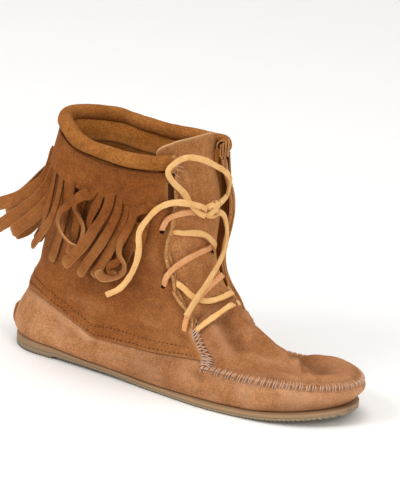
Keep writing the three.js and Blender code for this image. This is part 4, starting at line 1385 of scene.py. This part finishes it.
columns = np.linspace(-flap_columns, flap_columns, 320)
front = ease(flap_columns - 1.2, flap_columns, np.abs(columns))
bottom = 0.862 + 0.022 * front**2
level = 1 + np.linspace(0, 1, 34)[:, None] * (bottom[None] - 1)
column = np.broadcast_to(columns, level.shape)
ground = on_skin(level, column)
FLAP_CREASES = [
    ([(70, 150), (66, 165), (60, 182)], 3.0, 0.35),
    ([(96, 160), (92, 176), (86, 192)], 3.2, 0.3),
    ([(128, 176), (122, 192), (116, 206)], 3.0, 0.3),
    ([(83, 156), (78, 170), (74, 186)], 3.0, -0.3),
]
height, dark = creased(ground, FLAP_CREASES)
relief = 0.3 * waves(ground, 16, 17) + height
to_front = (flap_columns - np.abs(column)) * run_per_column
lip = edge_round(to_front, 0.7)
outer = on_skin(level, column, flap_flare(level) + flap_thickness * (0.5 + 0.5 * lip) + relief)
inner = on_skin(level, column, flap_flare(level) + relief + flap_thickness * (0.5 - 0.5 * lip))
# Painted shade darkens the flap just under the roll and in its creases, and it is darker towards the front.
painted_shade_and_tone = 0.22 * ease(0.965, 1.0, level) + 0.2 * np.clip(dark, 0, 1) + 0.12 * ease(15, 55, ground[..., 0])
leather_sheet("fringe_flap", outer, inner, fringe_suede, ["fringe"],
              {"painted_shade_and_tone": painted_shade_and_tone, "worn": 0.7 * np.exp(-to_front / 0.8)}, flip=True)

# %% [markdown]
# The strips on the outer side are placed one by one, where each is seen, with how far it stands off
# the boot. Five of them curl. Those that hang behind the heel are placed by a line of sight and a
# width. The rest, on the inner side, which isn't seen, follow one rule with a little chance.

# %% Where the strips are seen
# Each row is the strip's width, its turn about its own length in degrees at start and end, and its
# places: pixel, pixel, and millimetres off the skin.
SEEN_STRIPS = [
    (6.0, 0, 0, [(57, 163, 2.6), (55, 176, 3.6), (51, 196, 4.6), (46, 212, 5), (40, 226, 5)]),
    (6.2, 0, 10, [(62, 166, 2.6), (61, 182, 4), (57, 202, 6), (51, 218, 8), (43, 231, 10),
                  (32, 246, 12)]),
    (6.2, 0, 0, [(67, 170, 2.6), (67, 188, 3), (66, 206, 3), (61, 228, 2.6), (56, 246, 2.6),
                 (51, 260, 2.8)]),
    (6.0, 0, 48, [(73, 174, 2.8), (72, 190, 4.6), (70, 204, 7), (61, 211, 9), (57.5, 222, 10),
                  (62, 234, 9), (70, 243, 7), (78, 247, 5)]),
    (6.4, 0, 42, [(95, 188, 2.8), (91, 194, 6), (83, 195.5, 9), (76, 200, 10), (74.5, 208, 9),
                  (79, 217, 7), (83, 227, 6), (82, 238, 6), (78, 247, 6)]),
    (6.2, 0, 0, [(84, 184, 2.8), (82, 202, 3.4), (77, 222, 3.2), (73, 240, 3), (69, 254, 3)]),
    (6.2, 0, 20, [(102, 188, 2.8), (98, 202, 5), (92, 214, 5), (88.5, 227, 5), (87, 240, 4)]),
    (7.0, 0, 8, [(111, 190, 2.8), (109, 204, 6), (103, 217, 7), (94, 230, 8), (85, 243, 9),
                 (75, 254, 10), (64, 265, 11)]),
    (6.4, 0, 8, [(119, 194, 2.8), (118, 210, 5.4), (112, 225, 6), (104, 239, 7), (95, 252, 8),
                 (86, 264, 8), (79, 275, 8)]),
    (6.2, 0, 0, [(126, 198, 2.8), (124, 216, 4), (118, 234, 4.4), (110, 250, 5), (102, 264, 5),
                 (93, 276, 5.4)]),
    (6.0, 0, 55, [(134, 202, 2.8), (133, 218, 5), (127, 232, 6), (120.5, 243, 8), (119, 254, 9),
                  (124, 264, 8), (123, 272, 7), (114, 277, 7), (103, 278, 7), (98, 270, 7)]),
    (5.4, 10, 45, [(124, 250, 4), (118, 262, 6), (110, 266, 8), (109, 272, 9), (117, 273, 8)]),
    (6.0, 0, 0, [(141, 204, 2.8), (139, 220, 4), (134, 238, 3.6), (127, 254, 3.4), (120, 268, 3.4)]),
    (5.8, 0, 0, [(148, 204, 2.8), (146, 222, 3.6), (142, 238, 3.2), (136, 252, 3)]),
    (5.2, 0, 60, [(154, 203, 2.8), (149, 209, 5.5), (142, 210, 7), (136, 215, 7), (137, 223, 6),
                  (144, 224, 5)]),
]
# Behind the heel: pixel, pixel, and the width y that the place lies at.
HANGING_STRIPS = [
    (8.5, 0, 12, [(59, 150, -10), (54, 163, -9), (46, 177, -9), (34, 188, -10), (20, 196, -11),
                  (8, 201, -12), (-6, 205, -12)]),
    (9.0, 0, 10, [(61, 154, -15), (57, 168, -14), (50, 184, -14), (39, 198, -15), (25, 209, -16),
                  (10, 219, -16), (-3, 227, -16)]),
    (8.5, 0, 8, [(63, 160, -20), (60, 176, -20), (55, 192, -20), (45, 206, -21), (33, 217, -22),
                 (22, 225, -22), (12, 232, -22)]),
    (7.5, 0, 12, [(60, 164, -3), (54, 184, -2), (48, 202, -1), (40, 217, 0), (29, 229, 0), (16, 235, 0)]),
    (7.0, 0, 0, [(61, 170, 4), (57, 192, 5), (52, 210, 6), (45, 226, 6), (37, 240, 6)]),
    (7.5, 0, 6, [(57, 152, 2), (50, 170, 3), (39, 187, 4), (24, 202, 5), (7, 213, 5)]),
]

# %% [markdown]
# A strip is cut with a knife, so its edges are nearly straight but not quite even. It widens where it
# leaves the flap, is round at its tip, and may turn about its own length as it curls. A flat ring of
# points along a path can do all of that, which a flat plane could not.

# %% One strip
strip_sides = 14
strip_thickness = 1.45


def twisted(path, normals, start, end):
    """Faces for a strip that turns about its own length."""
    along = unit(np.gradient(path, axis=0))
    across = unit(np.cross(along, normals))
    flat = np.cross(across, along)
    turn = np.radians(np.linspace(start, end, len(path)))[:, None]
    return flat * np.cos(turn) + across * np.sin(turn)


def fringe_strip(corners, normals, width, start, end, seed):
    """The rings of one strip and how far along each is. It is widest at the flap and round at its tip."""
    path = smooth_path(corners, 1.0)
    normals = unit(spread(normals, len(path)))
    run = np.linspace(0, path_length(path), len(path))
    spots = np.stack([run, 0 * run, 0 * run + 7 * seed], -1)
    wide = width * (1 + 0.07 * waves(spots, 9, seed))
    from_tip = run[-1] - run
    wide *= 0.62 + 0.38 * np.sqrt(np.clip(1 - np.clip(1 - from_tip / 2.2, 0, 1) ** 2, 0, 1))
    wide *= 1 + 0.30 * np.clip(1 - run / 16, 0, 1)
    thick = strip_thickness * (1 + 0.1 * waves(spots, 12, seed + 50))
    net = ribbon_net(path, twisted(path, normals, start, end), wide, thick, sides=strip_sides, power=0.4)
    return net, run


strip_nets, strip_worn, strip_shade = [], [], []


def keep_strip(net, run, curled=0.0):
    """Painted shade darkens the slit beside a strip near the flap, and the strip a little where it leaves
    the flap. Lower down both cut edges and the tip are pale.
    """
    strip_nets.append(net)
    a = ring_angles(strip_sides)
    near_side, far_side = np.cos(a) > 0.85, np.cos(a) < -0.85
    free = ease(18, 44, run)[:, None]
    worn = 0.55 * near_side[None] * ease(2, 12, run)[:, None] + 0.5 * far_side[None] * free
    worn = worn + 0.5 * np.exp(-(run[-1] - run) / 1.5)[:, None] + (0.1 + 0.22 * curled) * free
    painted_shade_and_tone = 0.6 * far_side[None] * (1 - free) + 0.12 * ease(30, 5, run)[:, None]
    strip_shade.append(np.clip(painted_shade_and_tone * ease(1, 6, run)[:, None], 0, 1).ravel())
    strip_worn.append(np.clip(worn, 0, 1).ravel())


# %% Strips that are seen
facing_out = (0.3, -0.9, 0.3)
for k, (width, start, end, places) in enumerate(SEEN_STRIPS):
    places = np.array(places, float)
    corners, normals = seen(places[:, :2], places[:, 2])
    keep_strip(*fringe_strip(corners, normals, width, start, end, 100 + k), curled=float(end > 30))
for k, (width, start, end, places) in enumerate(HANGING_STRIPS):
    places = np.array(places, float)
    corners = seen_at_width(places[:, :2], places[:, 2])
    normals = np.tile(facing_out, (len(corners), 1))
    keep_strip(*fringe_strip(corners, normals, width, start, end, 130 + k))
print("strips placed by eye:", len(strip_nets))

# %% [markdown]
# On the inner side, round to the back, each strip falls step by step. It hangs down, trails back round
# the ankle, and stands off where the boot curves away under it. A seeded generator gives every strip
# its own length, slant and curl, and gives the same ones at each run.

# %% Strips on the inner side
def falling_strip(column, length, slant, curl):
    """A strip trails backwards round the ankle as it falls, and stands off where it leaves the back."""
    theta, side = (float(a) for a in place(strip_level, column)[1:])
    p = on_skin(strip_level, column, flap_flare(strip_level) + flap_thickness / 2)
    path, faces = [], []
    steps = 14
    bit = length / steps
    for k in range(steps + 1):
        out = skin_normal(strip_level, theta, side) * (1, 1, 0)
        out = out / np.linalg.norm(out)
        path.append(p)
        faces.append(out)
        backward = np.array([side * -out[1], side * out[0], 0])
        behind = np.clip(-out[0], 0, 1) ** 2
        fall = 0.85 * (1 + 0.35 * k / steps)
        way = backward * slant * (1 - behind) + out * (0.05 + 0.85 * behind + curl * (k / steps) ** 2)
        way = way - np.array([0, 0, fall])
        way = way / np.linalg.norm(way)
        p = p + way * bit
        ahead_of, behind_of = (skin(strip_level, theta + turn_by, side) for turn_by in (0.01, -0.01))
        arc = np.linalg.norm(ahead_of - behind_of) / 0.02
        theta = max(0.02, theta - np.linalg.norm(way[:2]) * (1 - behind) * bit / arc)
    return np.array(path), np.array(faces)


chance = np.random.default_rng(5)
inner_columns = np.linspace(-14.9, -0.6, 20)
for k, column in enumerate(inner_columns):
    length = chance.uniform(55, 68)
    slant = chance.uniform(0.42, 0.68)
    curl = chance.uniform(-0.1, 0.5)
    path, normals = falling_strip(column + chance.uniform(-0.1, 0.1), length, slant, curl)
    keep_strip(*fringe_strip(path, normals, chance.uniform(5.2, 6.2), 0, chance.uniform(-35, 45), 160 + k))
tubes("fringe_strips", strip_nets, fringe_suede, ["fringe"],
      {"worn": np.concatenate(strip_worn), "painted_shade_and_tone": np.concatenate(strip_shade)})
print("strips in all:", len(strip_nets))

# %% [markdown]
# ## Sole
# The sole is one moulded rubber unit with a low heel, and fine ribs across its tread, which show as
# small teeth along its lower edge.

# %% The outsole
SOLE_AT = (0.00, 0.15, 0.35, 0.50, 0.68, 0.85, 1.00)
SOLE_OUTER = (0.365, 0.370, 0.405, 0.445, 0.495, 0.450, 0.400)
SOLE_INNER = (0.365, 0.365, 0.360, 0.390, 0.480, 0.475, 0.460)
sole_tail, sole_nose = 0.13, 0.19


def sole_under(x):
    """The height of the sole's lower side at x."""
    t = sole_share(x)
    return 1.6 * ease(0.167, 0.187, t) * (1 - ease(0.357, 0.516, t)) + sole_spring(x)


def sole_half(t, values):
    """The sole's half width at share t of its length."""
    tail = np.sqrt(np.clip(1 - np.clip((sole_tail - t) / sole_tail, 0, 1) ** 2, 0, 1))
    nose = np.sqrt(np.clip(1 - np.clip((t - 1 + sole_nose) / sole_nose, 0, 1) ** 2, 0, 1))
    return through(SOLE_AT, values, t) * ball_width * tail * nose


tooth_pitch = 2.5
tooth_depth = 0.9
turn = np.linspace(0, math.pi, 420)
t = (1 - np.cos(turn)) / 2 * 0.9988 + 0.0006
t = np.interp(np.linspace(0, 1, 700), np.linspace(0, 1, 420), t)
x = t * sole_length - heel_setback
low_side, high_side = -sole_half(t, SOLE_OUTER), sole_half(t, SOLE_INNER)
tooth = tooth_depth * ease(-0.35, 0.35, np.cos(2 * math.pi * x / tooth_pitch))
# Once round the edge: share of the width, share of the thickness, and how deep the ribs cut there.
profile = [(0.03, 0.0, 1), (0.5, 0.0, 1), (0.97, 0.0, 1), (0.997, 0.06, 1), (1.0, 0.2, 0.25),
           (1.0, 0.4, 0), (0.994, 0.46, 0), (1.002, 0.54, 0), (1.003, 0.8, 0), (0.998, 0.9, 0),
           (0.990, 0.93, 0), (0.988, 1.0, 0), (0.5, 1.0, 0), (0.012, 1.0, 0), (0.010, 0.93, 0),
           (0.002, 0.9, 0), (-0.003, 0.8, 0), (-0.002, 0.54, 0), (0.006, 0.46, 0), (0.0, 0.4, 0),
           (0.0, 0.2, 0.25), (0.003, 0.06, 1)]
rings = []
for across, height, cut in profile:
    y = low_side + (high_side - low_side) * across
    z = sole_under(x) + (sole_top(x) - sole_under(x)) * height + cut * tooth
    rings.append(np.stack([x, y, z], -1))
net = np.stack(rings, 1)[:, ::-1]
heights = np.array([height for across, height, cut in profile])[::-1]
# Darker towards the bottom of the edge, with painted shade in a line along the groove near its middle and
# along its top, where the upper meets it. The sole is also darker towards the heel.
shade_and_tone_on_edge = np.clip(0.16 - 0.16 * (heights - 0.1) / 0.35, 0, 0.16) + 0.35 * (np.abs(heights - 0.46) < 0.01)
shade_and_tone_on_edge += 0.2 * (heights > 0.91)
darker_towards_heel = 0.16 * ease(150, -10, x)
tubes("outsole_unit", [net], rubber_tan, ["outsole"], {
    "painted_shade_and_tone": np.clip(shade_and_tone_on_edge[None] + darker_towards_heel[:, None], 0, 0.8).ravel(),
    "worn": (0.75 * ease(0.62, 0.40, heights)[None] * np.ones((len(x), 1))).ravel()})

# %% [markdown]
# ## Sock and tab
# Inside lies a sock of smooth leather, a little wavy from wear. Behind the heel the wrap's end is turned
# up as a small tab. Both are plain sheets, because little of them is seen.

# %% The sock inside and the tab behind the heel
theta = np.linspace(0.1, math.pi - 0.1, 80)
nets = []
for lift in (2.4, 0.0):
    edges = []
    for side in (-1, 1):
        p = skin(0, theta, side)
        n = skin_normal(0, theta, side)
        n[:, 2] = 0
        p = p - unit(n) * (wall + 1.9)
        p[:, 2] = sole_top(p[:, 0]) + gap + lift
        edges.append(p)
    share = np.linspace(0, 1, 20)[None, :, None]
    nets.append(edges[0][:, None] * (1 - share) + edges[1][:, None] * share)
nets[0][..., 2] += 0.3 * waves(nets[0], 20, 19) - 0.3
leather_sheet("insole_sock", nets[0], nets[1], insole_leather, ["insole"], flip=True)

level = np.broadcast_to(np.linspace(0.04, 0.16, 30)[:, None], (30, 60))
column = np.broadcast_to(np.linspace(-2, 2, 60), level.shape)
tab_thickness = 1.3
leather_sheet("heel_tab_patch", on_skin(level, column, gap + tab_thickness),
              on_skin(level, column, gap + 0.0 * level), wrap_suede, ["heel_tab"])

# %% [markdown]
# ## Floor and light
# The boot stands on a plain pale floor in pale air, so no edge shows behind it, and three wide lamps
# light it softly. A wide lamp gives the soft-edged shadow of a photographer's box.

# %% Studio
bpy.context.scene.view_settings.view_transform = "Standard"
floor_finish, tree = finish("pale_paper_sweep")
paper = add(tree, "ShaderNodeBsdfPrincipled", {"Base Color": linear("#fbfbfa"), "Roughness": 0.9,
                                               "Specular IOR Level": 0.1})
add(tree, "ShaderNodeOutputMaterial", {"Surface": paper.outputs[0]})
floor_mesh = bpy.data.meshes.new("floor")
reach = 4
floor_corners = [(-reach, -reach, 0), (reach, -reach, 0), (reach, reach, 0), (-reach, reach, 0)]
floor_mesh.from_pydata(floor_corners, [], [(0, 1, 2, 3)])
floor_mesh.materials.append(floor_finish)
floor = in_scene("floor", floor_mesh)

world = bpy.data.worlds.new("studio_air")
world.use_nodes = True
world.node_tree.nodes["Background"].inputs["Color"].default_value = linear("#fffdfa")
world.node_tree.nodes["Background"].inputs["Strength"].default_value = 0.66
bpy.context.scene.world = world

boot_middle = Vector((0.09, 0, 0.07))
# Each lamp: its place and its width in metres, and its power in watts.
LAMPS = {
    "key_lamp": ((-0.55, -1.25, 1.15), 0.7, 11),
    "front_lamp": ((1.35, -0.75, 0.75), 0.8, 6),
    "top_lamp": ((0.0, 0.1, 1.8), 0.9, 9),
}
for name, (spot, size, power) in LAMPS.items():
    lamp_data = bpy.data.lights.new(name, "AREA")
    lamp_data.size = size
    lamp_data.energy = power
    lamp = in_scene(name, lamp_data)
    lamp.location = spot
    lamp.rotation_euler = (boot_middle - Vector(spot)).to_track_quat("-Z", "Y").to_euler()
